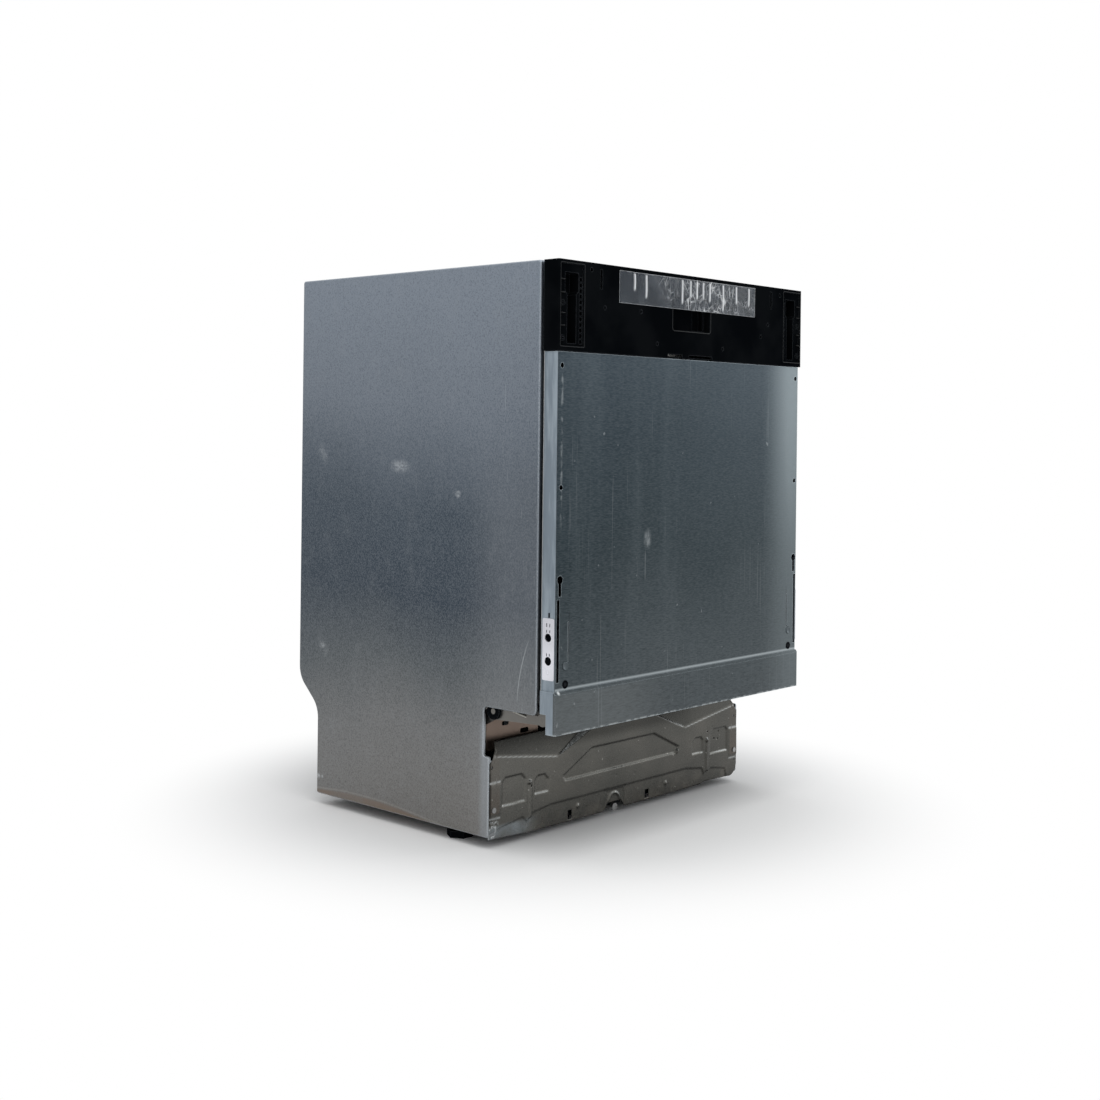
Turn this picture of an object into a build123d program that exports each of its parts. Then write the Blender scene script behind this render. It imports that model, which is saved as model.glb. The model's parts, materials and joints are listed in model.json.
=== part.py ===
"""Built-in dishwasher, 60 cm wide, standing on its feet. Millimetres, +Z up, front towards -Y."""
from build123d import *
import math
import os

os.makedirs("parts", exist_ok=True)

# Overall size
WIDTH = 598.0
DEPTH = 550.0
HEIGHT = 825.0
HALF = WIDTH / 2
FRONT = -DEPTH / 2
BACK = DEPTH / 2

# Sheet, walls and clearances
SHEET = 1.0
PLASTIC = 2.5
TRAY_WALL = 3.0
CLEAR = 0.3
RUNNING = 0.05
FLANGE = 15.0
BEND = 2.5

# Cabinet sides
GROUND = 16.0
NOTCH_TOP = 200.5
NOTCH_DEPTH = 101.0
NOTCH_RADIUS = 6.0
NOTCH_HEM = 4.0
HINGE_RELIEF = 26.0
LIP_TOP = 131.0
LIP = 11.0
LIP_RADIUS = 3.0
REAR_RECESS = 47.0
RECESS_TOP = 195.0
RECESS_LOW = 151.0
RECESS_RADIUS = 40.0
CORNER = 4.0
FRONT_CORNER = 8.0

# Door
DOOR_DEPTH = 28.0
DOOR_GAP = 4.0
DOOR_BOTTOM = 177.0
PANEL_INSET = 5.5
PANEL_SET_BACK = 3.0
SKIRT_INSET = 3.5
SKIRT_TOP = 236.0
SKIRT_SLOPE = 4.0
BOTTOM_FLANGE = 13.0
FASCIA_HEIGHT = 125.0
FASCIA_INSET = 2.5
FASCIA_JOINT = 0.5
FILM = 0.2
LINER_INSET = 5.5
LINER_BOTTOM = 206.0
LINER_TOP_GAP = 3.0
BULGE_DEPTH = 12.0
BULGE_HALF = HALF - 49.0
BULGE_LOW = 224.0
BULGE_HIGH = HEIGHT - 39.0
BULGE_RADIUS = 20.0
FASCIA_LOW = HEIGHT - FASCIA_HEIGHT
DOOR_BACK = FRONT + DOOR_DEPTH
SIDE_FRONT = DOOR_BACK + DOOR_GAP
NOTCH_BACK = SIDE_FRONT + NOTCH_DEPTH
BASE_BACK = BACK - REAR_RECESS

# Furniture door fixings on the outer panel
FIXING_X = HALF - 14.0
FIXING_Z = (FASCIA_LOW - 186.0, FASCIA_LOW - 19.5)
FIXING_RADIUS = 3.5
KEYHOLE_Z = 388.0
KEYHOLE_DROP = 22.5
KEYHOLE_RADIUS = 5.8
SLOT_X = HALF - 11.0
SLOT_LOW = 248.5
SLOT_HIGH = 361.0
SLOT_WIDTH = 5.5
SLIT_X = HALF - 32.0
SLIT_LOW = 276.0
SLIT_HIGH = 330.0
SLIT_WIDTH = 1.6
DRAIN_HOLE_X = HALF - 23.0
DRAIN_HOLE_Z = 242.5
DRAIN_HOLE_RADIUS = 2.0

# Fascia features
POCKET_IN = HALF - 54.5
POCKET_OUT = HALF - 6.5
POCKET_LOW = FASCIA_LOW + 7.0
POCKET_HIGH = HEIGHT - 5.0
POCKET_STEP = 3.0
WELL_DEPTH = 20.0
WELL_IN = HALF - 45.5
WELL_OUT = HALF - 18.0
WELL_LOW = FASCIA_LOW + 11.0
WELL_NECK = FASCIA_LOW + 78.0
WELL_HIGH = HEIGHT - 17.0
WELL_FLARE = 4.5
CELL_COUNT = 12
CELL_PITCH = 7.8
CELL_HEIGHT = 5.8
CELL_DEPTH = 12.0
CELL_IN = HALF - 53.0
CELL_OUT = HALF - 47.5
BOSS_X = HALF - 12.0
BOSS_Z = (FASCIA_LOW + 18.0, FASCIA_LOW + 66.0)
BOSS_RADIUS = 4.0
PILOT_RADIUS = 1.5
RECESS_HALF = 46.0
RECESS_FLOOR = FASCIA_LOW + 42.0
RECESS_CEILING = HEIGHT - 35.0
RECESS_DEPTH = 12.0
RECESS_DEEP = 20.0
RECESS_DEEP_X = (16.0, 42.0)
FASCIA_SLOT_X = HALF - 90.5
FASCIA_SLOT_Z = (HEIGHT - 35.0, HEIGHT - 8.0)
FASCIA_SLOT_WIDTH = 5.0
FASCIA_HOLES = ((69.5 - HALF, HEIGHT - 10.0), (HALF - 66.0, HEIGHT - 12.0), (HALF - 118.0, FASCIA_LOW + 44.0))
DIMPLE_Z = (FASCIA_LOW + 19.5, FASCIA_LOW + 64.0)
FASCIA_DIMPLES = ((-200.0, DIMPLE_Z[1]), (200.0, DIMPLE_Z[1]), (-120.0, DIMPLE_Z[1]),
                  (-82.0, DIMPLE_Z[0]), (79.0, DIMPLE_Z[0]))
FASCIA_NOTCHES = ((-57.0, -22.0), (-6.0, 52.0))
NOTCH_RISE = 6.0
DIMPLE_DEPTH = 1.0
DIMPLE_RADIUS = 3.0
FILM_X = (-170.0, 163.0)
FILM_Z = (HEIGHT - 51.5, HEIGHT - 5.5)

# Controls on the fascia's top edge
BUTTON_LENGTH = 18.0
BUTTON_WIDTH = 10.0
BUTTON_RIM = 2.0
BUTTON_TRAVEL = 1.5
BUTTON_SUNK = 0.4
BUTTON_X = {"power_button": -180.0, "program_button": 60.0, "start_button": 180.0}
BUTTON_SHELF = 17.0
DISPLAY_X = (95.0, 150.0)
DISPLAY_WIDTH = 10.0

# Hinge, springs and pulleys
HINGE_Y = DOOR_BACK - 2.0
HINGE_Z = 195.0
HINGE_PIN = 4.0
HINGE_EYE = 9.0
ARM_FORWARD = 11.0
BRACKET_X = HALF - 14.5
BRACKET_THICK = 4.0
ARM_THICK = 3.0
ARM_TOP = 330.0
ARM_WIDTH = 16.0
TAIL_REACH = 25.0
TAIL_RADIUS = 5.0
PULLEY_Y = NOTCH_BACK - 13.0
PULLEY_RADIUS = 12.0
PULLEY_GROOVE = 2.5
PULLEY_WIDTH = 4.0
ROPE_RADIUS = 1.2
ROPE_DROP = 35.0
ROPE_TAIL = 72.0
SPRING_RADIUS = 4.0
SPRING_LENGTH = 130.0

# Tub
TUB_HALF = HALF - 27.0
TUB_FLOOR = 206.0
TUB_TOP = HEIGHT - 25.0
TUB_BACK = BACK - 23.0
TUB_RADIUS = 25.0
TUB_RIM = 11.0
SEAL_WIDTH = 8.0
MAT = 6.0

# Base, feet and rear foot adjuster
BASE_TOP = 75.0
BASE_INSET = 4.5
BASE_FLOOR = 20.0
FOOT_X = HALF - 27.0
FOOT_Y = NOTCH_BACK + 72.0
FOOT_PAD = 20.0
FOOT_PAD_HEIGHT = 10.0
FOOT_SPINDLE = 8.0
FOOT_TOP = 95.0
FOOT_BOSS = 14.0
FOOT_BOSS_TOP = 70.0
ADJUSTER_X = -21.0
ADJUSTER_Z = 12.0
ADJUSTER_RADIUS = 4.5
REAR_FOOT_Y = BASE_BACK - 38.0
BASE_SET_BACK = 6.0
POST = 24.0
POST_X = HALF - 41.0
POST_Y = (NOTCH_BACK + 22.0, BASE_BACK - 33.0)
BRACKET_FOOT_Y = NOTCH_BACK + 26.0
BRACKET_FOOT = 32.0
ANCHOR = 8.0
CLIP = 10.0
CLIP_Y = (NOTCH_BACK + 27.0, BASE_BACK - 108.0)
FLOAT_X = HALF - 99.0
FLOAT_Y = BASE_BACK - 78.0
FLOAT_RADIUS = 26.0
FLOAT_HEIGHT = 32.0
FLOAT_GUIDE = 5.0
FLOAT_GUIDE_TOP = 80.0

# Plinth panel
PLINTH_BOTTOM = 10.0
PLINTH_BEND = 120.0
PLINTH_TOP = 150.0
PLINTH_LEAN = 14.0
EMBOSS_DEPTH = 3.0
ARCH_RADIUS = 14.0
TRAPEZOID = ((-137.5, 73.0), (137.5, 73.0), (76.5, 111.0), (-76.5, 111.0))
LARGE_FIELD_X = (HALF - 77.0, HALF - 29.0)
LARGE_FIELD_Z = (57.0, 97.0)
SMALL_FIELD_X = (HALF - 125.5, HALF - 96.0)
SMALL_FIELD_Z = (62.0, 88.0)
PLINTH_SCREW_X = HALF - 10.0
PLINTH_SCREW_Z = 54.5
SCREW_RADIUS = 2.0
PLINTH_SLOT_X = (-121.0, 61.0)
PLINTH_SLOT_Z = 24.0

# Washing system
SUMP_X = TUB_HALF - 202.0
SUMP_Y = -70.0
SUMP_RADIUS = 66.0
SUMP_BOTTOM = 110.0
SUMP_RIM = 6.0
LEDGE = 4.0
FILTER_RADIUS = 30.0
FILTER_BOTTOM = 130.0
SALT_X = 102.0 - TUB_HALF
SALT_Y = 60.0
SALT_RADIUS = 28.0
PUMP_Z = 150.0
PUMP_RADIUS = 42.0
PUMP_LENGTH = 75.0
MOTOR_RADIUS = 35.0
MOTOR_LENGTH = 60.0
IMPELLER_RADIUS = 30.0
SHAFT_RADIUS = 5.0
IMPELLER_GAP = 20.0
VANE_COUNT = 6
PUMP_BOSS = 18.0
PUMP_BORE = 12.0
DRAIN_RADIUS = 26.0
DRAIN_LENGTH = 60.0
FILTER_SEAT = 200.0
FILTER_RIM = 6.0
FILTER_HOLES = 24
TANK_X = (22.0 - TUB_HALF, 162.0 - TUB_HALF)
TANK_Y = (-40.0, 150.0)
TANK_BOTTOM = 110.0
EXCHANGER_Y = (-180.0, 180.0)
EXCHANGER_Z = (300.0, 700.0)
REAR_OUTLETS = {"inlet_valve": (109.0 - HALF, 55.0, 13.2), "drain_outlet": (HALF - 129.0, 52.0, 10.5),
                "power_inlet": (70.0, 45.0, 8.0)}
OUTLET_REACH = {"inlet_valve": 20.0, "drain_outlet": 28.0, "power_inlet": 12.0}
OUTLET_BORE = 5.0
OUTLET_BODY = 44.0
OUTLET_DEPTH = 36.0
PIPE_HALF = 14.0
PIPE_TOP = 600.0
NOZZLE_REACH = 9.0
NOZZLE_RADIUS = 6.0
UPPER_HUB = 470.0
JET_COUNT = 9
SPRAY_Y = 8.0
LOWER_ARM_REACH = TUB_HALF - 50.0
UPPER_ARM_REACH = TUB_HALF - 67.0
LOWER_PIN = 9.0
UPPER_PIN = 8.0
ARM_BLADE = 44.0
ARM_HUB = 24.0
ARM_THICKNESS = 12.0
SUPPORT_RADIUS = 18.0
SUPPORT_TOP = 232.0
PIN_LENGTH = 18.3

# Racks
WIRE = 4.0
LOWER_HALF = TUB_HALF - 24.0
LOWER_FRONT = FRONT + 65.0
LOWER_BACK = TUB_BACK - 30.0
LOWER_FLOOR = 266.0
LOWER_TOP = 390.0
WHEEL_RADIUS = 18.0
WHEEL_WIDTH = 8.0
WHEEL_AXLE = 4.0
WHEEL_Y = (LOWER_FRONT + 60.0, LOWER_BACK - 62.0)
UPPER_HALF = TUB_HALF - 26.0
UPPER_FRONT = FRONT + 70.0
UPPER_BACK = TUB_BACK - 32.0
UPPER_FLOOR = 490.0
UPPER_TOP = 600.0
RAIL_Z = 530.0
RAIL_WALL = 2.0
GLIDE_HEIGHT = 20.0
GLIDE_Y = (UPPER_FRONT + 85.0, UPPER_BACK - 80.0)
TINE_X = -120.0
TINE_COUNT = 11
TINE_PITCH = 28.0
TINE_TOP = 350.0
TINE_RADIUS = 2.5
TINE_BAR = 4.0
TINE_PIN = 3.0
TINE_CLIP = 6.0
RACK_PITCH = 31.0
BASKET_X = (LOWER_HALF - 88.0, LOWER_HALF - 8.0)
BASKET_Y = (LOWER_FRONT + 20.0, LOWER_FRONT + 250.0)
BASKET_TOP = 370.0
BASKET_WALL = 2.0
BASKET_ROWS = 3
BASKET_COLUMNS = 2
AXLE_OVERHANG = 2.0
CLIP_LENGTH = 20.0
RAIL_Y = (FRONT + 50.0, TUB_BACK - 12.0)
RAIL_DEPTH = 14.0
GLIDE_LENGTH = 40.0

# Detergent dispenser
DISPENSER_X = (-90.0, 90.0)
DISPENSER_Z = (470.0, 590.0)
DISPENSER_FRONT = FRONT + 13.0
DISPENSER_RIM = 5.0
RIM_THICK = 1.5
CHAMBER_X = (-75.0, 5.0)
CHAMBER_Z = (490.0, 570.0)
CHAMBER_DEPTH = 23.0
LID_LAP = 5.0
LID_THICK = 2.5
CAP_X = 55.0
CAP_Z = 530.0
CAP_RADIUS = 20.0
CAP_PLUG = 14.0
CAP_THICK = 5.5

# Latch
CATCH_HALF = 9.0
CATCH_PLATE = 18.0
CATCH_REACH = 20.0
CATCH_Z = (HEIGHT - 10.0, HEIGHT - 7.0)
CATCH_SLOT = (HEIGHT - 13.5, HEIGHT - 3.5)
LATCH_PIN = 2.0
LATCH_Y = FRONT + 11.0
LATCH_Z = HEIGHT - 19.0
LATCH_CHEEK = 5.0

# White plates on the door's sides
PLATE_Y = (FRONT + 4.0, FRONT + 25.0)
PLATE_Z = (251.0, 336.0)
PLATE_THICK = 2.0
PLATE_HOLES = (278.0, 310.0)

# Control board box inside the fascia
BOARD_X = (9.5 - POCKET_IN, -60.0)
BOARD_Z = (FASCIA_LOW + 8.0, FASCIA_LOW + 80.0)
BOARD_DEPTH = 20.0

# Worktop fixing
WORKTOP_RAIL = 40.0
WORKTOP_HOLE_X = HALF - 49.0
WORKTOP_HOLE_RADIUS = 2.75

# Places that follow from the sizes above
INSIDE = HALF - SHEET
LIP_FRONT = NOTCH_BACK - LIP
FASCIA_FRONT = FRONT + FILM
FASCIA_WALL_BACK = FASCIA_FRONT + PLASTIC
PANEL_HALF = HALF - PANEL_INSET
PANEL_FRONT = FRONT + PANEL_SET_BACK
SKIRT_HALF = HALF - SKIRT_INSET
LINER_BACK = DOOR_BACK + SHEET
BULGE_BACK = LINER_BACK + BULGE_DEPTH
TUB_FRONT = SIDE_FRONT + SHEET
TUB_INNER = TUB_HALF - SHEET
PLINTH_FRONT = LIP_FRONT - SHEET
PULLEY_X = BRACKET_X + BRACKET_THICK + CLEAR
PULLEY_Z = HINGE_Z
ROPE_X = PULLEY_X + PULLEY_WIDTH / 2
ARM_OUTER = PANEL_HALF - SHEET
BASE_WALL_BACK = BASE_BACK - BASE_INSET
DOOR_BEND = 2 * SHEET
PUMP_FACE = SUMP_X + SUMP_RADIUS + 2 * SHEET
DRAIN_FACE = SUMP_X - SUMP_RADIUS - 2 * SHEET
NOZZLE_Z = UPPER_FLOOR - PIPE_HALF / 2 + SHEET
BUTTON_Y = (FASCIA_WALL_BACK + DOOR_BACK) / 2
BOTH_SIDES = (-1, 1)


def block(x, y, z, mode=Mode.ADD):
    """A box between pairs of limits, in the part being built."""
    with Locations(((x[0] + x[1]) / 2, (y[0] + y[1]) / 2, (z[0] + z[1]) / 2)):
        Box(abs(x[1] - x[0]), abs(y[1] - y[0]), abs(z[1] - z[0]), mode=mode)


def rod_x(x, y, z, radius, mode=Mode.ADD):
    """A round bar along X, in the part being built."""
    with Locations(((x[0] + x[1]) / 2, y, z)):
        Cylinder(radius, abs(x[1] - x[0]), rotation=(0, 90, 0), mode=mode)


def rod_y(x, y, z, radius, mode=Mode.ADD):
    """A round bar along Y, in the part being built."""
    with Locations((x, (y[0] + y[1]) / 2, z)):
        Cylinder(radius, abs(y[1] - y[0]), rotation=(90, 0, 0), mode=mode)


def rod_z(x, y, z, radius, mode=Mode.ADD):
    """A round bar along Z, in the part being built."""
    with Locations((x, y, (z[0] + z[1]) / 2)):
        Cylinder(radius, abs(z[1] - z[0]), mode=mode)


def span(middle, length):
    """The limits of a length centred on a place."""
    return (middle - length / 2, middle + length / 2)


def sided(side, inner, outer):
    """X limits between two distances from the middle, on one side of the machine."""
    return tuple(sorted((side * inner, side * outer)))


def keep(part, name):
    """Label a finished piece and write it."""
    part.label = name
    export_step(part, f"parts/{name}.step")


def front_plane(y):
    """A sketch plane facing the front at depth y, with X to the right and Z up."""
    return Plane.XZ.offset(-y)


def side_outline(x, inset):
    """The cabinet side's outline in Y and Z at a place along X, drawn inwards if wanted."""
    corners = (
        (SIDE_FRONT, HEIGHT, CORNER),
        (BACK, HEIGHT, CORNER),
        (BACK, RECESS_TOP, RECESS_RADIUS),
        (BASE_BACK, RECESS_LOW, RECESS_RADIUS),
        (BASE_BACK, GROUND, CORNER),
        (LIP_FRONT, GROUND, CORNER),
        (LIP_FRONT, LIP_TOP, LIP_RADIUS),
        (NOTCH_BACK, LIP_TOP, LIP_RADIUS),
        (NOTCH_BACK, NOTCH_TOP, NOTCH_RADIUS),
        (SIDE_FRONT, NOTCH_TOP, FRONT_CORNER),
    )
    with BuildSketch(Plane.YZ.offset(x)) as area:
        with BuildLine():
            FilletPolyline(*[c[:2] for c in corners], radius=[c[2] for c in corners], close=True)
        make_face()
        if inset:
            offset(amount=-inset, mode=Mode.REPLACE)
    return area.sketch


def side_panel():
    """The left cabinet side: a sheet tray with flanges, relieved round the toe notch."""
    hem = -HALF + NOTCH_HEM
    past = -HALF + FLANGE + SHEET
    with BuildPart() as panel:
        extrude(side_outline(-HALF, 0), amount=FLANGE)
        fillet(panel.faces().sort_by(Axis.X)[0].edges(), BEND)
        extrude(side_outline(-INSIDE, SHEET), amount=FLANGE, mode=Mode.SUBTRACT)
        relief = 2 * NOTCH_RADIUS
        block((hem, past), (SIDE_FRONT - SHEET, NOTCH_BACK + 2 * SHEET),
              (NOTCH_TOP - relief, NOTCH_TOP + 2 * SHEET), Mode.SUBTRACT)
        block((hem, past), (SIDE_FRONT - SHEET, SIDE_FRONT + FRONT_CORNER + SHEET),
              (NOTCH_TOP - SHEET, NOTCH_TOP + HINGE_RELIEF), Mode.SUBTRACT)
        block((hem, past), (NOTCH_BACK - relief, NOTCH_BACK + 2 * SHEET),
              (LIP_TOP - 2 * LIP_RADIUS, NOTCH_TOP), Mode.SUBTRACT)
    return panel.part


def rear_panel():
    """The sheet that closes the back, with two pressed stiffening fields."""
    inner = BACK - SHEET
    low = RECESS_TOP + 2 * FLANGE
    high = HEIGHT - FLANGE
    middle = (low + high) / 2
    field = (high - low) / 2 - 2 * FLANGE
    width = 2 * (INSIDE - 2 * FLANGE)
    with BuildPart() as panel:
        block((-INSIDE + BEND, INSIDE - BEND), (inner - SHEET, inner), (low, high))
        for side in BOTH_SIDES:
            z = middle + side * (field / 2 + FLANGE)
            block(span(0, width), (inner - SHEET - EMBOSS_DEPTH, inner), span(z, field))
            block(span(0, width - 2 * SHEET), (inner - EMBOSS_DEPTH, inner), span(z, field - 2 * SHEET),
                  Mode.SUBTRACT)
    return panel.part


def top_front_rail():
    """The rail across the top front, with the holes that take the worktop screws."""
    under = HEIGHT - SHEET
    with BuildPart() as rail:
        width = (-INSIDE + BEND, INSIDE - BEND)
        block(width, (TUB_FRONT, TUB_FRONT + WORKTOP_RAIL), (under - SHEET, under))
        block(width, (TUB_FRONT, TUB_FRONT + SHEET), (TUB_TOP + TUB_RIM, under))
        for side in BOTH_SIDES:
            rod_z(side * WORKTOP_HOLE_X, TUB_FRONT + WORKTOP_RAIL / 2, (under - 2 * SHEET, HEIGHT),
                  WORKTOP_HOLE_RADIUS, Mode.SUBTRACT)
            block(sided(side, HALF - FLANGE - SHEET, HALF), (TUB_FRONT, TUB_FRONT + CORNER),
                  (under - CORNER, under), Mode.SUBTRACT)
    return rail.part


def tub_shell():
    """The stainless wrapper: sides, ceiling, back and the rim that carries the seal."""
    floor = TUB_FLOOR - SHEET
    with BuildPart() as shell:
        extrude(tub_section(TUB_BACK, TUB_HALF, floor, TUB_TOP, TUB_RADIUS), amount=TUB_BACK - TUB_FRONT)
        extrude(tub_section(TUB_FRONT, TUB_HALF + TUB_RIM, floor, TUB_TOP + TUB_RIM, TUB_RADIUS),
                amount=SHEET)
        extrude(tub_section(TUB_BACK - SHEET, TUB_INNER, floor - SHEET, TUB_TOP - SHEET, TUB_RADIUS - SHEET),
                amount=TUB_BACK - TUB_FRONT + SHEET, mode=Mode.SUBTRACT)
    return shell.part


def tub_section(y, half, low, high, radius):
    """A section of the tub across the machine at depth y, with rounded upper corners."""
    with BuildSketch(front_plane(y)) as area:
        with BuildLine():
            FilletPolyline((-half, low), (-half, high), (half, high), (half, low),
                           radius=[0, radius, radius, 0], close=True)
        make_face()
    return area.sketch


def tub_floor():
    """The tub's floor, with its openings for the sump and the salt filler."""
    with BuildPart() as floor:
        block((-TUB_INNER, TUB_INNER), (TUB_FRONT + SHEET, TUB_BACK - SHEET), (TUB_FLOOR - SHEET, TUB_FLOOR))
        rod_z(SUMP_X, SUMP_Y, (SUMP_BOTTOM, TUB_FLOOR + SHEET), SUMP_RADIUS - LEDGE, Mode.SUBTRACT)
        rod_z(SALT_X, SALT_Y, (SUMP_BOTTOM, TUB_FLOOR + SHEET), SALT_RADIUS + CLEAR, Mode.SUBTRACT)
    return floor.part


def door_seal():
    """The rubber seal round the tub's mouth, just clear of the closed door."""
    inner = TUB_HALF + (TUB_RIM - SEAL_WIDTH) / 2
    rise = TUB_TOP + (TUB_RIM - SEAL_WIDTH) / 2
    with BuildPart() as seal:
        extrude(tub_section(SIDE_FRONT, inner + SEAL_WIDTH, TUB_FLOOR, rise + SEAL_WIDTH, TUB_RADIUS),
                amount=SIDE_FRONT - LINER_BACK - CLEAR)
        extrude(tub_section(SIDE_FRONT, inner, TUB_FLOOR - SHEET, rise, TUB_RADIUS - SEAL_WIDTH),
                amount=SIDE_FRONT - LINER_BACK, mode=Mode.SUBTRACT)
    return seal.part


def tub_top_mat():
    """The bitumen mat on the tub's ceiling."""
    with BuildPart() as mat:
        block(span(0, 2 * TUB_HALF - 4 * FLANGE), (TUB_FRONT + 3 * FLANGE, TUB_BACK - 2 * FLANGE),
              (TUB_TOP, TUB_TOP + MAT))
        fillet(mat.edges().filter_by(Axis.Z), FLANGE)
    return mat.part


def base_pan():
    """The plastic base: drip tray, tall rear wall, tub posts, foot nuts, hinge seats and adjuster clips."""
    half = INSIDE - BASE_INSET
    front = LIP_FRONT + BASE_SET_BACK
    back = BASE_WALL_BACK
    low = GROUND + SHEET
    floor = BASE_FLOOR + TRAY_WALL
    hook_y, hook_z = spring_end()
    hook = hook_y + SPRING_RADIUS * math.sin(math.radians(ROPE_DROP))
    with BuildPart() as pan:
        block((-half, half), (front, back), (low, BASE_TOP))
        block((-half + TRAY_WALL, half - TRAY_WALL), (front + TRAY_WALL, back - TRAY_WALL),
              (floor, BASE_TOP + SHEET), Mode.SUBTRACT)
        block((-half + FLANGE, half - FLANGE), (front + TRAY_WALL, back - TRAY_WALL),
              (low - SHEET, BASE_FLOOR), Mode.SUBTRACT)
        block((-half, half), (back - TRAY_WALL, back), (floor, RECESS_TOP))
        for x in (-POST_X, POST_X):
            for y in POST_Y:
                block(span(x, POST), span(y, POST), (BASE_FLOOR, TUB_FLOOR - SHEET))
        for x, y in foot_places():
            rod_z(x, y, (BASE_FLOOR, FOOT_BOSS_TOP), FOOT_BOSS)
        for side in BOTH_SIDES:
            seat = BRACKET_X + BRACKET_THICK
            block(sided(side, seat, half), span(BRACKET_FOOT_Y, BRACKET_FOOT), (BASE_FLOOR, BASE_TOP))
            block(sided(side, ROPE_X - SPRING_RADIUS, half), (hook, hook + ANCHOR),
                  (BASE_FLOOR, hook_z + ANCHOR))
        for y in CLIP_Y:
            block(span(ADJUSTER_X, 2 * FOOT_SPINDLE), span(y, CLIP), (ADJUSTER_Z - CLIP / 2, floor))
        rod_z(FLOAT_X, FLOAT_Y, (BASE_FLOOR, FLOAT_GUIDE_TOP), FLOAT_GUIDE)
        for x, y in foot_places():
            rod_z(x, y, (low - SHEET, FOOT_BOSS_TOP + SHEET), FOOT_SPINDLE + RUNNING, Mode.SUBTRACT)
        rod_y(ADJUSTER_X, (front, REAR_FOOT_Y - FOOT_PAD), ADJUSTER_Z, ADJUSTER_RADIUS + RUNNING,
              Mode.SUBTRACT)
        for x, z, radius in REAR_OUTLETS.values():
            rod_y(x, (back - TRAY_WALL - SHEET, back + SHEET), z, radius + CLEAR, Mode.SUBTRACT)
    return pan.part


def foot_places():
    """Where the three feet stand."""
    return ((-FOOT_X, FOOT_Y), (FOOT_X, FOOT_Y), (ADJUSTER_X, REAR_FOOT_Y))


def foot(x, y):
    """A screw foot: a six-sided pad under a threaded spindle."""
    with BuildPart() as leg:
        with BuildSketch(Plane.XY):
            with Locations((x, y)):
                RegularPolygon(FOOT_PAD, 6)
        extrude(amount=FOOT_PAD_HEIGHT)
        fillet(leg.faces().sort_by(Axis.Z)[0].edges(), SHEET)
        rod_z(x, y, (FOOT_PAD_HEIGHT, FOOT_TOP), FOOT_SPINDLE)
        chamfer(leg.faces().sort_by(Axis.Z)[-1].edges(), SHEET)
    return leg.part


def rear_foot_adjuster():
    """The long shaft that turns the rear foot from the front, with a slotted six-sided head."""
    head = (PLINTH_FRONT + SHEET, LIP_FRONT + BASE_SET_BACK)
    with BuildPart() as shaft:
        rod_y(ADJUSTER_X, (head[0], REAR_FOOT_Y - FOOT_PAD - CLEAR), ADJUSTER_Z, ADJUSTER_RADIUS)
        with BuildSketch(front_plane(head[1] - CLEAR)):
            with Locations((ADJUSTER_X, ADJUSTER_Z)):
                RegularPolygon(ADJUSTER_RADIUS + 2 * SHEET, 6)
        extrude(amount=head[1] - head[0] - CLEAR)
        block(span(ADJUSTER_X, 2 * ADJUSTER_RADIUS), (head[0], head[0] + SHEET), span(ADJUSTER_Z, SHEET),
              Mode.SUBTRACT)
    return shaft.part


def plinth_emboss(points):
    """A pressed field of the plinth panel, sunk by the emboss depth, with sheet walls."""
    with BuildSketch(front_plane(LIP_FRONT + EMBOSS_DEPTH)) as outer:
        Polygon(*points, align=None)
    extrude(outer.sketch, amount=EMBOSS_DEPTH)
    with BuildSketch(front_plane(PLINTH_FRONT + EMBOSS_DEPTH)) as inner:
        Polygon(*points, align=None)
        offset(amount=-SHEET, mode=Mode.REPLACE)
    extrude(inner.sketch, amount=EMBOSS_DEPTH, mode=Mode.SUBTRACT)


def rectangle_points(side, x, z):
    """The corners of an upright rectangle on one side of the middle."""
    left, right = sided(side, *x)
    return ((left, z[0]), (right, z[0]), (right, z[1]), (left, z[1]))


def plinth_panel():
    """The embossed sheet across the toe space, with its upper strip leaning back."""
    half = INSIDE - SHEET
    through = (PLINTH_FRONT - SHEET, LIP_FRONT + SHEET)
    profile = (
        (PLINTH_FRONT, PLINTH_BOTTOM),
        (LIP_FRONT, PLINTH_BOTTOM),
        (LIP_FRONT, PLINTH_BEND),
        (LIP_FRONT + PLINTH_LEAN, PLINTH_TOP),
        (PLINTH_FRONT + PLINTH_LEAN, PLINTH_TOP),
        (PLINTH_FRONT, PLINTH_BEND),
    )
    with BuildPart() as panel:
        with BuildSketch(Plane.YZ.offset(-half)):
            Polygon(*profile, align=None)
        extrude(amount=2 * half)
        plinth_emboss(TRAPEZOID)
        for side in BOTH_SIDES:
            plinth_emboss(rectangle_points(side, LARGE_FIELD_X, LARGE_FIELD_Z))
            plinth_emboss(rectangle_points(side, SMALL_FIELD_X, SMALL_FIELD_Z))
            rod_y(side * PLINTH_SCREW_X, through, PLINTH_SCREW_Z, SCREW_RADIUS + RUNNING, Mode.SUBTRACT)
            block(sided(side, HALF - FLANGE - SHEET, HALF),
                  (PLINTH_FRONT - SHEET, LIP_FRONT + PLINTH_LEAN + SHEET),
                  (PLINTH_BEND, PLINTH_TOP + SHEET), Mode.SUBTRACT)
        for x in PLINTH_SLOT_X:
            block(span(x, SLOT_WIDTH), through, span(PLINTH_SLOT_Z, 2 * SLOT_WIDTH), Mode.SUBTRACT)
        rod_y(ADJUSTER_X, through, ADJUSTER_Z, ARCH_RADIUS, Mode.SUBTRACT)
    return panel.part


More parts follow.
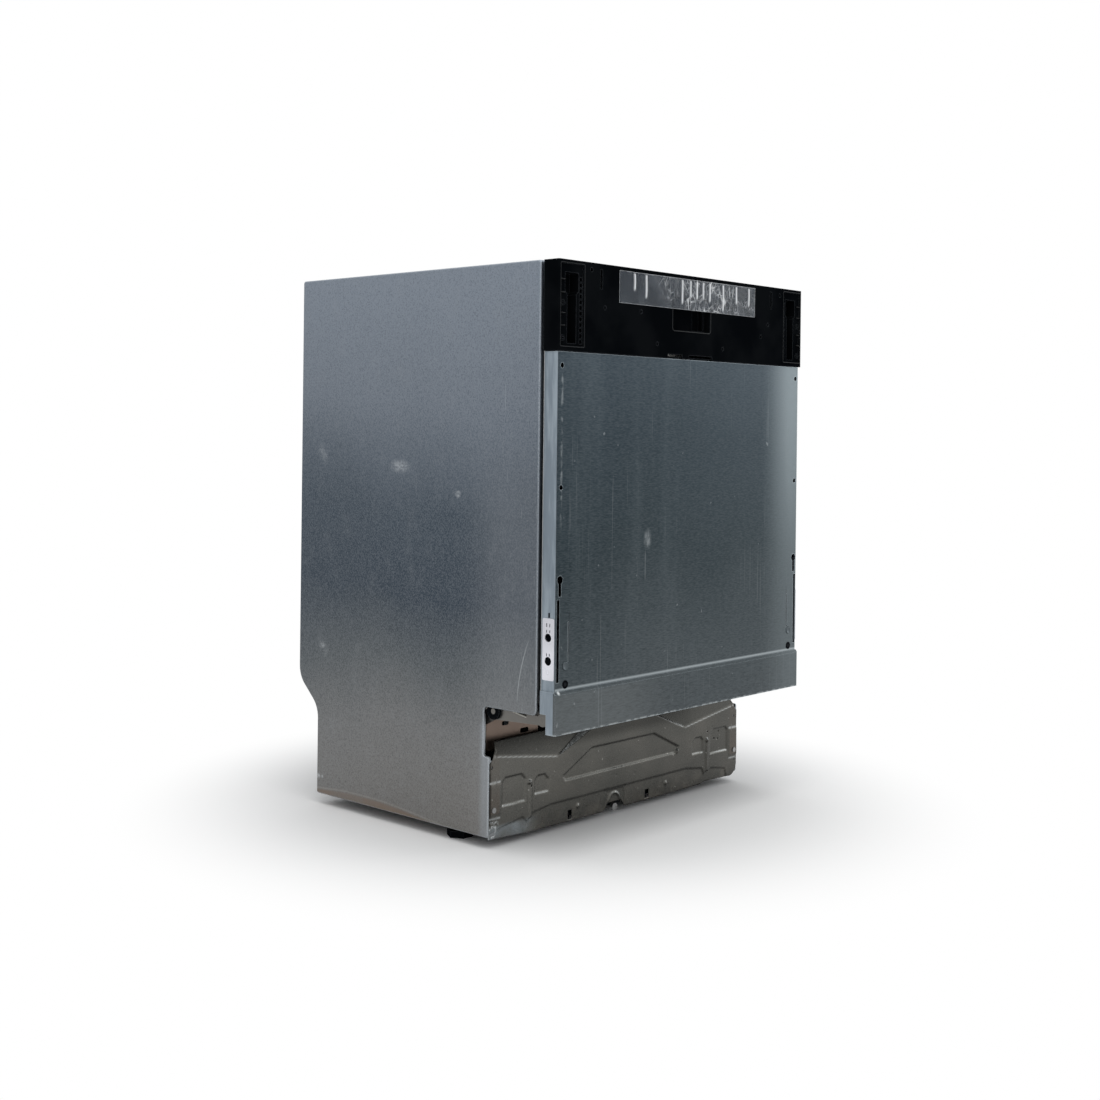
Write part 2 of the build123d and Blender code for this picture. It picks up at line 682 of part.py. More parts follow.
def plinth_screws():
    """The screws that hold the plinth panel to the cabinet sides."""
    head = (PLINTH_FRONT - 2 * SHEET, PLINTH_FRONT)
    with BuildPart() as screws:
        for side in BOTH_SIDES:
            x = side * PLINTH_SCREW_X
            rod_y(x, (PLINTH_FRONT, LIP_FRONT), PLINTH_SCREW_Z, SCREW_RADIUS)
            rod_y(x, head, PLINTH_SCREW_Z, 2 * SCREW_RADIUS)
    return screws.part


def hinge_brackets():
    """The fixed hinge plates, with the door's pivot pins and the pulleys' pins."""
    top = HINGE_Z + HINGE_EYE - SHEET
    foot_back = BRACKET_FOOT_Y + BRACKET_FOOT / 2
    foot_front = BRACKET_FOOT_Y - BRACKET_FOOT / 2
    outline = (
        (HINGE_Y, HINGE_Z - HINGE_EYE + SHEET),
        (PULLEY_Y, HINGE_Z - PULLEY_RADIUS),
        (foot_front, HINGE_Z - 2 * PULLEY_RADIUS),
        (foot_front, BASE_FLOOR + FLANGE),
        (foot_back, BASE_FLOOR + FLANGE),
        (foot_back, top),
        (HINGE_Y, top),
    )
    with BuildPart() as brackets:
        for side in BOTH_SIDES:
            near, far = sided(side, BRACKET_X, BRACKET_X + BRACKET_THICK)
            with BuildSketch(Plane.YZ.offset(near)):
                Polygon(*outline, align=None)
                with Locations((HINGE_Y, HINGE_Z)):
                    Circle(HINGE_EYE - SHEET)
            extrude(amount=far - near)
            plate = BRACKET_X + BRACKET_THICK
            rod_x(sided(side, plate, ARM_OUTER), HINGE_Y, HINGE_Z, HINGE_PIN)
            rod_x(sided(side, plate, PULLEY_X + PULLEY_WIDTH), PULLEY_Y, PULLEY_Z, HINGE_PIN)
    return brackets.part


def hinge_arms():
    """The door's hinge arms: a strip up each side, an eye on the pin and a tail for the rope."""
    strip = (HINGE_Y - ARM_FORWARD - ARM_WIDTH / 2, HINGE_Y - ARM_FORWARD + ARM_WIDTH / 2)
    outline = (
        (strip[0], HINGE_Z + HINGE_EYE),
        (strip[0], ARM_TOP),
        (strip[1], ARM_TOP),
        (strip[1], HINGE_Z + 2 * HINGE_EYE),
        (HINGE_Y, HINGE_Z + HINGE_EYE),
        (HINGE_Y, HINGE_Z - HINGE_EYE),
    )
    with BuildPart() as arms:
        for side in BOTH_SIDES:
            near, far = sided(side, ARM_OUTER - ARM_THICK, ARM_OUTER)
            with BuildSketch(Plane.YZ.offset(near)):
                Polygon(*outline, align=None)
                with Locations((HINGE_Y, HINGE_Z)):
                    Circle(HINGE_EYE)
                with Locations((HINGE_Y + TAIL_REACH, HINGE_Z)):
                    Circle(TAIL_RADIUS)
                with Locations((HINGE_Y + TAIL_REACH / 2, HINGE_Z)):
                    Rectangle(TAIL_REACH, 2 * TAIL_RADIUS)
                with Locations((HINGE_Y, HINGE_Z)):
                    Circle(HINGE_PIN + RUNNING, mode=Mode.SUBTRACT)
            extrude(amount=far - near)
    return arms.part


def spring_pulleys():
    """The grooved black pulleys that turn the spring ropes."""
    with BuildPart() as pulleys:
        for side in BOTH_SIDES:
            wide = sided(side, PULLEY_X, PULLEY_X + PULLEY_WIDTH)
            rod_x(wide, PULLEY_Y, PULLEY_Z, PULLEY_RADIUS - PULLEY_GROOVE)
            rim = (PULLEY_WIDTH - 2 * ROPE_RADIUS - 2 * CLEAR) / 2
            for start in (PULLEY_X, PULLEY_X + PULLEY_WIDTH - rim):
                rod_x(sided(side, start, start + rim), PULLEY_Y, PULLEY_Z, PULLEY_RADIUS)
            rod_x(wide, PULLEY_Y, PULLEY_Z, HINGE_PIN + RUNNING, Mode.SUBTRACT)
    return pulleys.part


def rope_line():
    """The rope's run from the arm's tail, over the pulley, down to the spring, as Y and Z points."""
    start = (HINGE_Y + TAIL_REACH + TAIL_RADIUS + CLEAR, HINGE_Z)
    wrap = PULLEY_RADIUS - PULLEY_GROOVE + CLEAR + ROPE_RADIUS
    climb = math.asin(wrap / (PULLEY_Y - start[0]))
    drop = math.radians(ROPE_DROP)
    lift = wrap / math.cos((climb + drop) / 2)
    tilt = (climb - drop) / 2
    corner = (PULLEY_Y - lift * math.sin(tilt), PULLEY_Z + lift * math.cos(tilt))
    end = (corner[0] + ROPE_TAIL * math.cos(drop), corner[1] - ROPE_TAIL * math.sin(drop))
    return start, corner, end, wrap


def spring_end():
    """Where the spring meets its anchor, in Y and Z."""
    end = rope_line()[2]
    drop = math.radians(ROPE_DROP)
    return (end[0] + SPRING_LENGTH * math.cos(drop), end[1] - SPRING_LENGTH * math.sin(drop))


def spring_ropes():
    """The ropes that pull the springs as the door opens."""
    start, corner, end, wrap = rope_line()
    ropes = []
    for side in BOTH_SIDES:
        x = side * ROPE_X
        with BuildPart() as rope:
            with BuildLine():
                FilletPolyline(*[(x, y, z) for y, z in (start, corner, end)], radius=wrap)
            with BuildSketch(Plane((x, *start), z_dir=(0, corner[0] - start[0], corner[1] - start[1]))):
                Circle(ROPE_RADIUS)
            sweep()
        ropes.append(rope.part)
    return Compound(ropes)


def door_springs():
    """The counterbalance springs, close-wound and drawn plain, between the ropes and their anchors."""
    end = rope_line()[2]
    far = spring_end()
    along = (0, far[0] - end[0], far[1] - end[1])
    springs = []
    for side in BOTH_SIDES:
        place = Plane((side * ROPE_X, *end), x_dir=(1, 0, 0), z_dir=along)
        with BuildPart() as spring:
            with BuildSketch(place.offset(CLEAR)):
                Circle(SPRING_RADIUS)
            extrude(amount=SPRING_LENGTH - 2 * CLEAR)
            fillet(spring.edges(), SHEET)
        springs.append(spring.part)
    return Compound(springs)


def sump():
    """The sump bowl under the tub floor, with the filter's ledge and the two pump sockets."""
    under = TUB_FLOOR - SHEET
    floor = SUMP_BOTTOM + TRAY_WALL
    with BuildPart() as bowl:
        rod_z(SUMP_X, SUMP_Y, (SUMP_BOTTOM, under), SUMP_RADIUS)
        rod_z(SUMP_X, SUMP_Y, (under - TRAY_WALL, under), SUMP_RADIUS + SUMP_RIM)
        rod_x((SUMP_X, PUMP_FACE), SUMP_Y, PUMP_Z, PUMP_BOSS)
        rod_x((DRAIN_FACE, SUMP_X), SUMP_Y, PUMP_Z, PUMP_BOSS)
        rod_z(SUMP_X, SUMP_Y, (floor, FILTER_SEAT - LEDGE), SUMP_RADIUS - TRAY_WALL, Mode.SUBTRACT)
        rod_z(SUMP_X, SUMP_Y, (floor, FILTER_SEAT), SUMP_RADIUS - 2 * LEDGE, Mode.SUBTRACT)
        rod_z(SUMP_X, SUMP_Y, (FILTER_SEAT, TUB_FLOOR), SUMP_RADIUS - LEDGE, Mode.SUBTRACT)
        rod_x((DRAIN_FACE - SHEET, PUMP_FACE + SHEET), SUMP_Y, PUMP_Z, PUMP_BORE, Mode.SUBTRACT)
    return bowl.part


def fine_filter():
    """The perforated filter plate in the sump's mouth."""
    ring = (SUMP_RADIUS - LEDGE + FILTER_RADIUS) / 2
    with BuildPart() as plate:
        rod_z(SUMP_X, SUMP_Y, (FILTER_SEAT, FILTER_SEAT + 2 * SHEET), SUMP_RADIUS - LEDGE - CLEAR)
        with BuildSketch(Plane.XY.offset(FILTER_SEAT)):
            with Locations((SUMP_X, SUMP_Y)):
                Circle(FILTER_RADIUS + CLEAR)
            with Locations((SUMP_X, SUMP_Y)):
                with PolarLocations(ring, FILTER_HOLES):
                    Rectangle(ring / 2, 2 * SHEET)
        extrude(amount=2 * SHEET, mode=Mode.SUBTRACT)
    return plate.part


def filter_cylinder():
    """The twist-out filter cup, with a grip bar across its rim."""
    rim = FILTER_SEAT + 2 * SHEET + CLEAR
    with BuildPart() as cup:
        rod_z(SUMP_X, SUMP_Y, (FILTER_BOTTOM, rim), FILTER_RADIUS)
        rod_z(SUMP_X, SUMP_Y, (rim, rim + TRAY_WALL), FILTER_RADIUS + FILTER_RIM)
        rod_z(SUMP_X, SUMP_Y, (FILTER_BOTTOM - SHEET, rim), FILTER_RADIUS - 2 * SHEET, Mode.SUBTRACT)
        block(span(SUMP_X, 2 * FILTER_RADIUS), span(SUMP_Y, 2 * FILTER_RIM),
              (rim + TRAY_WALL, rim + 4 * TRAY_WALL))
    return cup.part


def softener_tank():
    """The water softener's tank, hung from the tub floor by its filler neck."""
    under = TUB_FLOOR - SHEET
    neck = TUB_FLOOR + 2 * SHEET
    with BuildPart() as tank:
        block(TANK_X, TANK_Y, (TANK_BOTTOM, under))
        fillet(tank.edges().filter_by(Axis.Z), FLANGE)
        rod_z(SALT_X, SALT_Y, (under - TRAY_WALL, neck), SALT_RADIUS)
        with BuildSketch(Plane.XY.offset(TANK_BOTTOM + TRAY_WALL)):
            with Locations((sum(TANK_X) / 2, sum(TANK_Y) / 2)):
                RectangleRounded(TANK_X[1] - TANK_X[0] - 2 * TRAY_WALL, TANK_Y[1] - TANK_Y[0] - 2 * TRAY_WALL,
                                 FLANGE - TRAY_WALL)
        extrude(amount=under - TANK_BOTTOM - 2 * TRAY_WALL, mode=Mode.SUBTRACT)
        rod_z(SALT_X, SALT_Y, (TANK_BOTTOM + TRAY_WALL, neck + SHEET), SALT_RADIUS - LEDGE, Mode.SUBTRACT)
    return tank.part


def salt_cap():
    """The salt filler's screw cap with its grip bar."""
    seat = TUB_FLOOR + 2 * SHEET + CLEAR
    with BuildPart() as cap:
        rod_z(SALT_X, SALT_Y, (seat, seat + 2 * LEDGE), SALT_RADIUS + LEDGE)
        rod_z(SALT_X, SALT_Y, (seat - 2 * LEDGE, seat), SALT_RADIUS - LEDGE - CLEAR)
        block(span(SALT_X, 2 * SALT_RADIUS), span(SALT_Y, 2 * LEDGE), (seat + 2 * LEDGE, seat + 4 * LEDGE))
        chamfer(cap.faces().sort_by(Axis.Z)[-1].edges(), SHEET)
    return cap.part


def pump_housing():
    """The circulation pump's volute and motor can, plugged on the sump."""
    volute = (PUMP_FACE, PUMP_FACE + PUMP_LENGTH)
    with BuildPart() as pump:
        rod_x(volute, SUMP_Y, PUMP_Z, PUMP_RADIUS)
        rod_x((volute[1], volute[1] + MOTOR_LENGTH), SUMP_Y, PUMP_Z, MOTOR_RADIUS)
        rod_x((volute[0] + TRAY_WALL, volute[1] - TRAY_WALL), SUMP_Y, PUMP_Z, PUMP_RADIUS - TRAY_WALL,
              Mode.SUBTRACT)
        rod_x((volute[0] - SHEET, volute[0] + 2 * TRAY_WALL), SUMP_Y, PUMP_Z, PUMP_BORE, Mode.SUBTRACT)
        rod_x((volute[1] - 2 * TRAY_WALL, volute[1] + MOTOR_LENGTH / 2), SUMP_Y, PUMP_Z,
              SHAFT_RADIUS + RUNNING, Mode.SUBTRACT)
    return pump.part


def pump_impeller():
    """The impeller: a disc with straight vanes on the motor's shaft."""
    disc = PUMP_FACE + IMPELLER_GAP
    vane = IMPELLER_RADIUS - SHAFT_RADIUS
    with BuildPart() as impeller:
        rod_x((disc, disc + TRAY_WALL), SUMP_Y, PUMP_Z, IMPELLER_RADIUS)
        rod_x((disc, PUMP_FACE + PUMP_LENGTH + MOTOR_LENGTH / 3), SUMP_Y, PUMP_Z, SHAFT_RADIUS)
        with BuildSketch(Plane.YZ.offset(disc + TRAY_WALL)):
            with Locations((SUMP_Y, PUMP_Z)):
                with PolarLocations(IMPELLER_RADIUS - SHEET - vane / 2, VANE_COUNT):
                    Rectangle(vane, TRAY_WALL)
        extrude(amount=IMPELLER_GAP)
    return impeller.part


def drain_pump():
    """The drain pump, plugged on the sump's other side, with its outlet stub."""
    ends = (DRAIN_FACE - DRAIN_LENGTH, DRAIN_FACE)
    with BuildPart() as pump:
        rod_x(ends, SUMP_Y, PUMP_Z, DRAIN_RADIUS)
        rod_x((ends[0] - FLANGE, ends[0]), SUMP_Y, PUMP_Z, DRAIN_RADIUS - 2 * TRAY_WALL)
        rod_y(ends[1] - FLANGE, (SUMP_Y, SUMP_Y + DRAIN_RADIUS + FLANGE), PUMP_Z, 2 * LEDGE)
        rod_x((ends[1] - FLANGE, ends[1] + SHEET), SUMP_Y, PUMP_Z, PUMP_BORE, Mode.SUBTRACT)
    return pump.part


def float_ring():
    """The leak float, free to rise on its guide in the drip tray."""
    low = BASE_FLOOR + TRAY_WALL + CLEAR
    with BuildPart() as ring:
        rod_z(FLOAT_X, FLOAT_Y, (low, low + FLOAT_HEIGHT), FLOAT_RADIUS)
        fillet(ring.edges(), 2 * SHEET)
        rod_z(FLOAT_X, FLOAT_Y, (low - SHEET, low + FLOAT_HEIGHT + SHEET), FLOAT_GUIDE + RUNNING,
              Mode.SUBTRACT)
    return ring.part


def rear_outlet(name):
    """A connection at the back: a body on the tray's floor, a stub through its wall and a lock nut."""
    x, z, radius = REAR_OUTLETS[name]
    wall = BASE_WALL_BACK - TRAY_WALL
    tip = BASE_WALL_BACK + OUTLET_REACH[name]
    with BuildPart() as outlet:
        block(span(x, OUTLET_BODY), (wall - OUTLET_DEPTH, wall),
              (BASE_FLOOR + TRAY_WALL, z + OUTLET_BODY / 2))
        fillet(outlet.edges().filter_by(Axis.Z), TRAY_WALL)
        rod_y(x, (wall - SHEET, tip), z, radius)
        rod_y(x, (BASE_WALL_BACK, BASE_WALL_BACK + TRAY_WALL), z, radius + TRAY_WALL)
        rod_y(x, (wall, tip + SHEET), z, OUTLET_BORE, Mode.SUBTRACT)
    return outlet.part


def heat_exchanger():
    """The flat water store between the tub's left side and the cabinet."""
    limits = (-INSIDE + BASE_INSET, -TUB_HALF)
    with BuildPart() as store:
        block(limits, EXCHANGER_Y, EXCHANGER_Z)
        fillet(store.edges().filter_by(Axis.X), FLANGE)
        block((limits[0] + PLASTIC, limits[1] - PLASTIC), (EXCHANGER_Y[0] + FLANGE, EXCHANGER_Y[1] - FLANGE),
              (EXCHANGER_Z[0] + FLANGE, EXCHANGER_Z[1] - FLANGE), Mode.SUBTRACT)
    return store.part


def feed_pipe():
    """The flat pipe up the tub's back wall, with the nozzle that meets the upper rack's tube."""
    back = TUB_BACK - SHEET
    front = back - PIPE_HALF
    with BuildPart() as pipe:
        block((-PIPE_HALF, PIPE_HALF), (front, back), (TUB_FLOOR, PIPE_TOP))
        rod_y(0, (UPPER_BACK + NOZZLE_REACH, front), NOZZLE_Z, NOZZLE_RADIUS)
        block((-PIPE_HALF + 2 * SHEET, PIPE_HALF - 2 * SHEET), (front + 2 * SHEET, back - 2 * SHEET),
              (TUB_FLOOR + SHEET, PIPE_TOP - 2 * SHEET), Mode.SUBTRACT)
        rod_y(0, (UPPER_BACK, back - 2 * SHEET), NOZZLE_Z, NOZZLE_RADIUS - 2 * SHEET, Mode.SUBTRACT)
    return pipe.part


def rack_rails():
    """The channels on the tub's sides that guide the upper rack."""
    gap = GLIDE_HEIGHT + 2 * CLEAR
    low = RAIL_Z + RAIL_WALL
    rails = []
    for side in BOTH_SIDES:
        with BuildPart() as rail:
            block(sided(side, TUB_INNER - RAIL_DEPTH, TUB_INNER), RAIL_Y, (RAIL_Z, low + gap + RAIL_WALL))
            block(sided(side, TUB_INNER - RAIL_DEPTH - SHEET, TUB_INNER - RAIL_WALL),
                  (RAIL_Y[0] - SHEET, RAIL_Y[1] - RAIL_WALL), (low, low + gap), Mode.SUBTRACT)
        rails.append(rail.part)
    return Compound(rails)


def door_catch():
    """The catch tongue on the top rail, which reaches into the closed door."""
    with BuildPart() as catch:
        block((-CATCH_PLATE, CATCH_PLATE), (SIDE_FRONT - SHEET, TUB_FRONT),
              (CATCH_SLOT[0], CATCH_SLOT[1] + SHEET))
        block((-CATCH_HALF, CATCH_HALF), (SIDE_FRONT - SHEET - CATCH_REACH, SIDE_FRONT), CATCH_Z)
    return catch.part


def spray_pin(base, pin, way):
    """A spray arm's pin, up or down from its base, and the collar that holds the arm on."""
    tip = base + way * PIN_LENGTH
    rod_z(0, SPRAY_Y, (base, tip), pin)
    rod_z(0, SPRAY_Y, (tip, tip + way * TRAY_WALL), pin + LEDGE)


def spray_arm_support():
    """The post on the tub floor that carries the lower spray arm."""
    with BuildPart() as post:
        rod_z(0, SPRAY_Y, (TUB_FLOOR, SUPPORT_TOP), SUPPORT_RADIUS)
        spray_pin(SUPPORT_TOP, LOWER_PIN, 1)
    return post.part


def spray_arm(middle, reach, pin):
    """A two-bladed spray arm about a hub, with jet holes along each blade."""
    hub = PIN_LENGTH - 2 * CLEAR
    with BuildPart() as arm:
        with BuildSketch(Plane.XY.offset(middle - ARM_THICKNESS / 2)):
            with Locations((0, SPRAY_Y)):
                SlotOverall(2 * reach, ARM_BLADE)
        extrude(amount=ARM_THICKNESS)
        fillet(arm.edges(), ARM_THICKNESS / 4)
        rod_z(0, SPRAY_Y, span(middle, hub), ARM_HUB)
        with BuildSketch(Plane.XY.offset(middle)):
            with Locations((0, SPRAY_Y)):
                with GridLocations(2 * reach / JET_COUNT, 0, JET_COUNT, 1):
                    Rectangle(2 * TRAY_WALL, TRAY_WALL)
        extrude(amount=ARM_THICKNESS, mode=Mode.SUBTRACT)
        rod_z(0, SPRAY_Y, span(middle, 2 * PIN_LENGTH), pin + RUNNING, Mode.SUBTRACT)
    return arm.part


def wire_frame(plane, middle, width, height):
    """A flat welded wire frame: even uprights and cross wires, centred on a place in its plane."""
    columns = max(2, round(width / RACK_PITCH) + 1)
    rows = max(2, round(height / (2 * RACK_PITCH)) + 1)
    with BuildPart() as frame:
        with BuildSketch(plane):
            with Locations(middle):
                with GridLocations((width - WIRE) / (columns - 1), 0, columns, 1):
                    Rectangle(WIRE, height)
            with Locations(middle):
                with GridLocations(0, (height - WIRE) / (rows - 1), 1, rows):
                    Rectangle(width, WIRE)
        extrude(amount=WIRE)
    return frame.part


def rack_walls(half, front, back, floor, top):
    """A rack's wire floor and its four wire walls, each a flat frame."""
    depth = back - front
    base = floor + WIRE
    rise = top - base
    across = (0, base + rise / 2)
    along = (front + depth / 2, base + rise / 2)
    return [
        wire_frame(Plane.XY.offset(floor), (0, front + depth / 2), 2 * half, depth),
        wire_frame(front_plane(front + WIRE), across, 2 * half, rise),
        wire_frame(front_plane(back), across, 2 * half, rise),
        wire_frame(Plane.YZ.offset(-half), along, depth - 2 * WIRE, rise),
        wire_frame(Plane.YZ.offset(half - WIRE), along, depth - 2 * WIRE, rise),
    ]


def tine_ends():
    """Where the fold-down row's bar ends along Y."""
    reach = (TINE_COUNT - 1) * TINE_PITCH / 2 + TINE_BAR
    return (-reach, reach)


def lower_rack():
    """The lower wire rack with its wheel clips and the clips of the fold-down row."""
    pieces = rack_walls(LOWER_HALF, LOWER_FRONT, LOWER_BACK, LOWER_FLOOR, LOWER_TOP)
    wheel_z = TUB_FLOOR + CLEAR + WHEEL_RADIUS
    plate = LOWER_HALF + WIRE
    deck = LOWER_FLOOR + WIRE
    for side in BOTH_SIDES:
        for y in WHEEL_Y:
            with BuildPart() as clip:
                block(sided(side, LOWER_HALF, plate), span(y, CLIP_LENGTH),
                      (wheel_z - CLIP_LENGTH / 2, deck))
                rod_x(sided(side, plate, plate + WHEEL_WIDTH + AXLE_OVERHANG), y, wheel_z, WHEEL_AXLE)
            pieces.append(clip.part)
    bar_z = deck + TINE_BAR + CLEAR
    for end, way in zip(tine_ends(), BOTH_SIDES):
        with BuildPart() as clip:
            near = end + way * CLEAR
            block(span(TINE_X, 2 * TINE_CLIP), (near, near + way * TINE_CLIP), (deck, deck + 2 * TINE_CLIP))
            rod_y(TINE_X, (end, end + way * 2 * TINE_CLIP), bar_z, TINE_PIN + RUNNING, Mode.SUBTRACT)
        pieces.append(clip.part)
    return Compound(pieces)


def rack_wheels(y):
    """A pair of lower rack wheels that share one axle line."""
    wheel_z = TUB_FLOOR + CLEAR + WHEEL_RADIUS
    inner = LOWER_HALF + WIRE + CLEAR
    wheels = []
    for side in BOTH_SIDES:
        with BuildPart() as wheel:
            rod_x(sided(side, inner, inner + WHEEL_WIDTH), y, wheel_z, WHEEL_RADIUS)
            fillet(wheel.edges(), SHEET)
            rod_x(sided(side, inner - SHEET, inner + WHEEL_WIDTH + SHEET), y, wheel_z, WHEEL_AXLE + RUNNING,
                  Mode.SUBTRACT)
        wheels.append(wheel.part)
    return Compound(wheels)


def fold_down_tines():
    """The row of plate tines that folds flat on its bar."""
    bar_z = LOWER_FLOOR + WIRE + TINE_BAR + CLEAR
    ends = tine_ends()
    with BuildPart() as row:
        rod_y(TINE_X, ends, bar_z, TINE_BAR)
        rod_y(TINE_X, (ends[0] - TINE_CLIP, ends[1] + TINE_CLIP), bar_z, TINE_PIN)
        for number in range(TINE_COUNT):
            y = (number - (TINE_COUNT - 1) / 2) * TINE_PITCH
            rod_z(TINE_X, y, (bar_z, TINE_TOP), TINE_RADIUS)
    return row.part


def cutlery_basket():
    """The cutlery basket: a thin-walled box with two rows of cells."""
    low = LOWER_FLOOR + WIRE + CLEAR
    deep = (BASKET_Y[1] - BASKET_Y[0] - BASKET_WALL) / BASKET_ROWS
    wide = (BASKET_X[1] - BASKET_X[0] - BASKET_WALL) / BASKET_COLUMNS
    with BuildPart() as basket:
        block(BASKET_X, BASKET_Y, (low, BASKET_TOP))
        fillet(basket.edges().filter_by(Axis.Z), LEDGE)
        for column in range(BASKET_COLUMNS):
            x = BASKET_X[0] + BASKET_WALL + column * wide
            for row in range(BASKET_ROWS):
                y = BASKET_Y[0] + BASKET_WALL + row * deep
                block((x, x + wide - BASKET_WALL), (y, y + deep - BASKET_WALL),
                      (low + BASKET_WALL, BASKET_TOP + SHEET), Mode.SUBTRACT)
    return basket.part


def upper_rack():
    """The upper wire rack with the glides that run in the rails."""
    pieces = rack_walls(UPPER_HALF, UPPER_FRONT, UPPER_BACK, UPPER_FLOOR, UPPER_TOP)
    low = RAIL_Z + RAIL_WALL + CLEAR
    tip = TUB_INNER - RAIL_WALL - SHEET
    for side in BOTH_SIDES:
        for y in GLIDE_Y:
            with BuildPart() as glide:
                block(sided(side, UPPER_HALF, tip), span(y, GLIDE_LENGTH), (low, low + GLIDE_HEIGHT))
                fillet(glide.edges().filter_by(Axis.X), TRAY_WALL)
            pieces.append(glide.part)
    return Compound(pieces)


def upper_feed_tube():
    """The tube under the upper rack, with the hub of the upper spray arm."""
    half = PIPE_HALF - 2 * SHEET
    with BuildPart() as tube:
        block((-half, half), (SPRAY_Y - PIPE_HALF, UPPER_BACK + NOZZLE_REACH - CLEAR),
              (UPPER_FLOOR - half, UPPER_FLOOR))
        rod_z(0, SPRAY_Y, (UPPER_HUB, UPPER_FLOOR), SUPPORT_RADIUS)
        spray_pin(UPPER_HUB, UPPER_PIN, -1)
    return tube.part


def skirt_profile(inset):
    """The door skin's stepped skirt in Y and Z, or its inside at a sheet's thickness."""
    back = DOOR_BACK + inset
    return (
        (FRONT + inset, DOOR_BOTTOM + inset),
        (back, DOOR_BOTTOM + inset),
        (back, SKIRT_TOP - inset),
        (PANEL_FRONT + inset, SKIRT_TOP - inset),
        (FRONT + inset, SKIRT_TOP - SKIRT_SLOPE - inset),
    )


def door_outer_panel():
    """The door's outer skin: a folded sheet with a stepped skirt and the furniture fixings."""
    top = FASCIA_LOW - FASCIA_JOINT
    face = (PANEL_FRONT - SHEET, PANEL_FRONT + 2 * SHEET)
    with BuildPart() as panel:
        block((-PANEL_HALF, PANEL_HALF), (PANEL_FRONT, DOOR_BACK), (DOOR_BOTTOM, top))
        with BuildSketch(Plane.YZ.offset(-SKIRT_HALF)):
            Polygon(*skirt_profile(0), align=None)
        extrude(amount=2 * SKIRT_HALF)
        upright = panel.edges().filter_by(Axis.Z)
        fillet(upright.filter_by(lambda edge: edge.center().Y < DOOR_BACK - SHEET), DOOR_BEND)
        block((-ARM_OUTER, ARM_OUTER), (PANEL_FRONT + SHEET, DOOR_BACK + SHEET),
              (DOOR_BOTTOM + SHEET, top + SHEET), Mode.SUBTRACT)
        with BuildSketch(Plane.YZ.offset(-SKIRT_HALF + SHEET)):
            Polygon(*skirt_profile(SHEET), align=None)
        extrude(amount=2 * (SKIRT_HALF - SHEET), mode=Mode.SUBTRACT)
        block((-SKIRT_HALF + SHEET, SKIRT_HALF - SHEET), (FRONT + BOTTOM_FLANGE, DOOR_BACK + SHEET),
              (DOOR_BOTTOM - SHEET, DOOR_BOTTOM + 2 * SHEET), Mode.SUBTRACT)
        for side in BOTH_SIDES:
            block(sided(side, ARM_OUTER - SHEET, SKIRT_HALF + SHEET),
                  (HINGE_Y - HINGE_EYE, DOOR_BACK + SHEET),
                  (DOOR_BOTTOM - SHEET, HINGE_Z + HINGE_EYE), Mode.SUBTRACT)
            for z in FIXING_Z:
                rod_y(side * FIXING_X, face, z, FIXING_RADIUS, Mode.SUBTRACT)
            rod_y(side * FIXING_X, face, KEYHOLE_Z, KEYHOLE_RADIUS, Mode.SUBTRACT)
            block(span(side * FIXING_X, KEYHOLE_RADIUS), face, (KEYHOLE_Z - KEYHOLE_DROP, KEYHOLE_Z),
                  Mode.SUBTRACT)
            block(span(side * SLOT_X, SLOT_WIDTH), face, (SLOT_LOW, SLOT_HIGH), Mode.SUBTRACT)
            block(span(side * SLIT_X, SLIT_WIDTH), face, (SLIT_LOW, SLIT_HIGH), Mode.SUBTRACT)
            rod_y(side * DRAIN_HOLE_X, face, DRAIN_HOLE_Z, DRAIN_HOLE_RADIUS, Mode.SUBTRACT)
    return panel.part


def door_liner():
    """The stainless inner door, pressed towards the tub, with the dispenser's opening."""
    half = HALF - LINER_INSET
    width = 2 * BULGE_HALF
    height = BULGE_HIGH - BULGE_LOW
    middle = (0, (BULGE_HIGH + BULGE_LOW) / 2)
    with BuildPart() as liner:
        block((-half, half), (DOOR_BACK, LINER_BACK), (LINER_BOTTOM, HEIGHT - LINER_TOP_GAP))
        with BuildSketch(front_plane(BULGE_BACK)):
            with Locations(middle):
                RectangleRounded(width, height, BULGE_RADIUS)
        extrude(amount=BULGE_BACK - DOOR_BACK)
        with BuildSketch(front_plane(BULGE_BACK - SHEET)):
            with Locations(middle):
                RectangleRounded(width - 2 * SHEET, height - 2 * SHEET, BULGE_RADIUS - SHEET)
        extrude(amount=BULGE_BACK - DOOR_BACK, mode=Mode.SUBTRACT)
        block(DISPENSER_X, (DOOR_BACK, BULGE_BACK + SHEET), DISPENSER_Z, Mode.SUBTRACT)
        block((-CATCH_PLATE, CATCH_PLATE), (DOOR_BACK - SHEET, LINER_BACK + SHEET), CATCH_SLOT, Mode.SUBTRACT)
    return liner.part


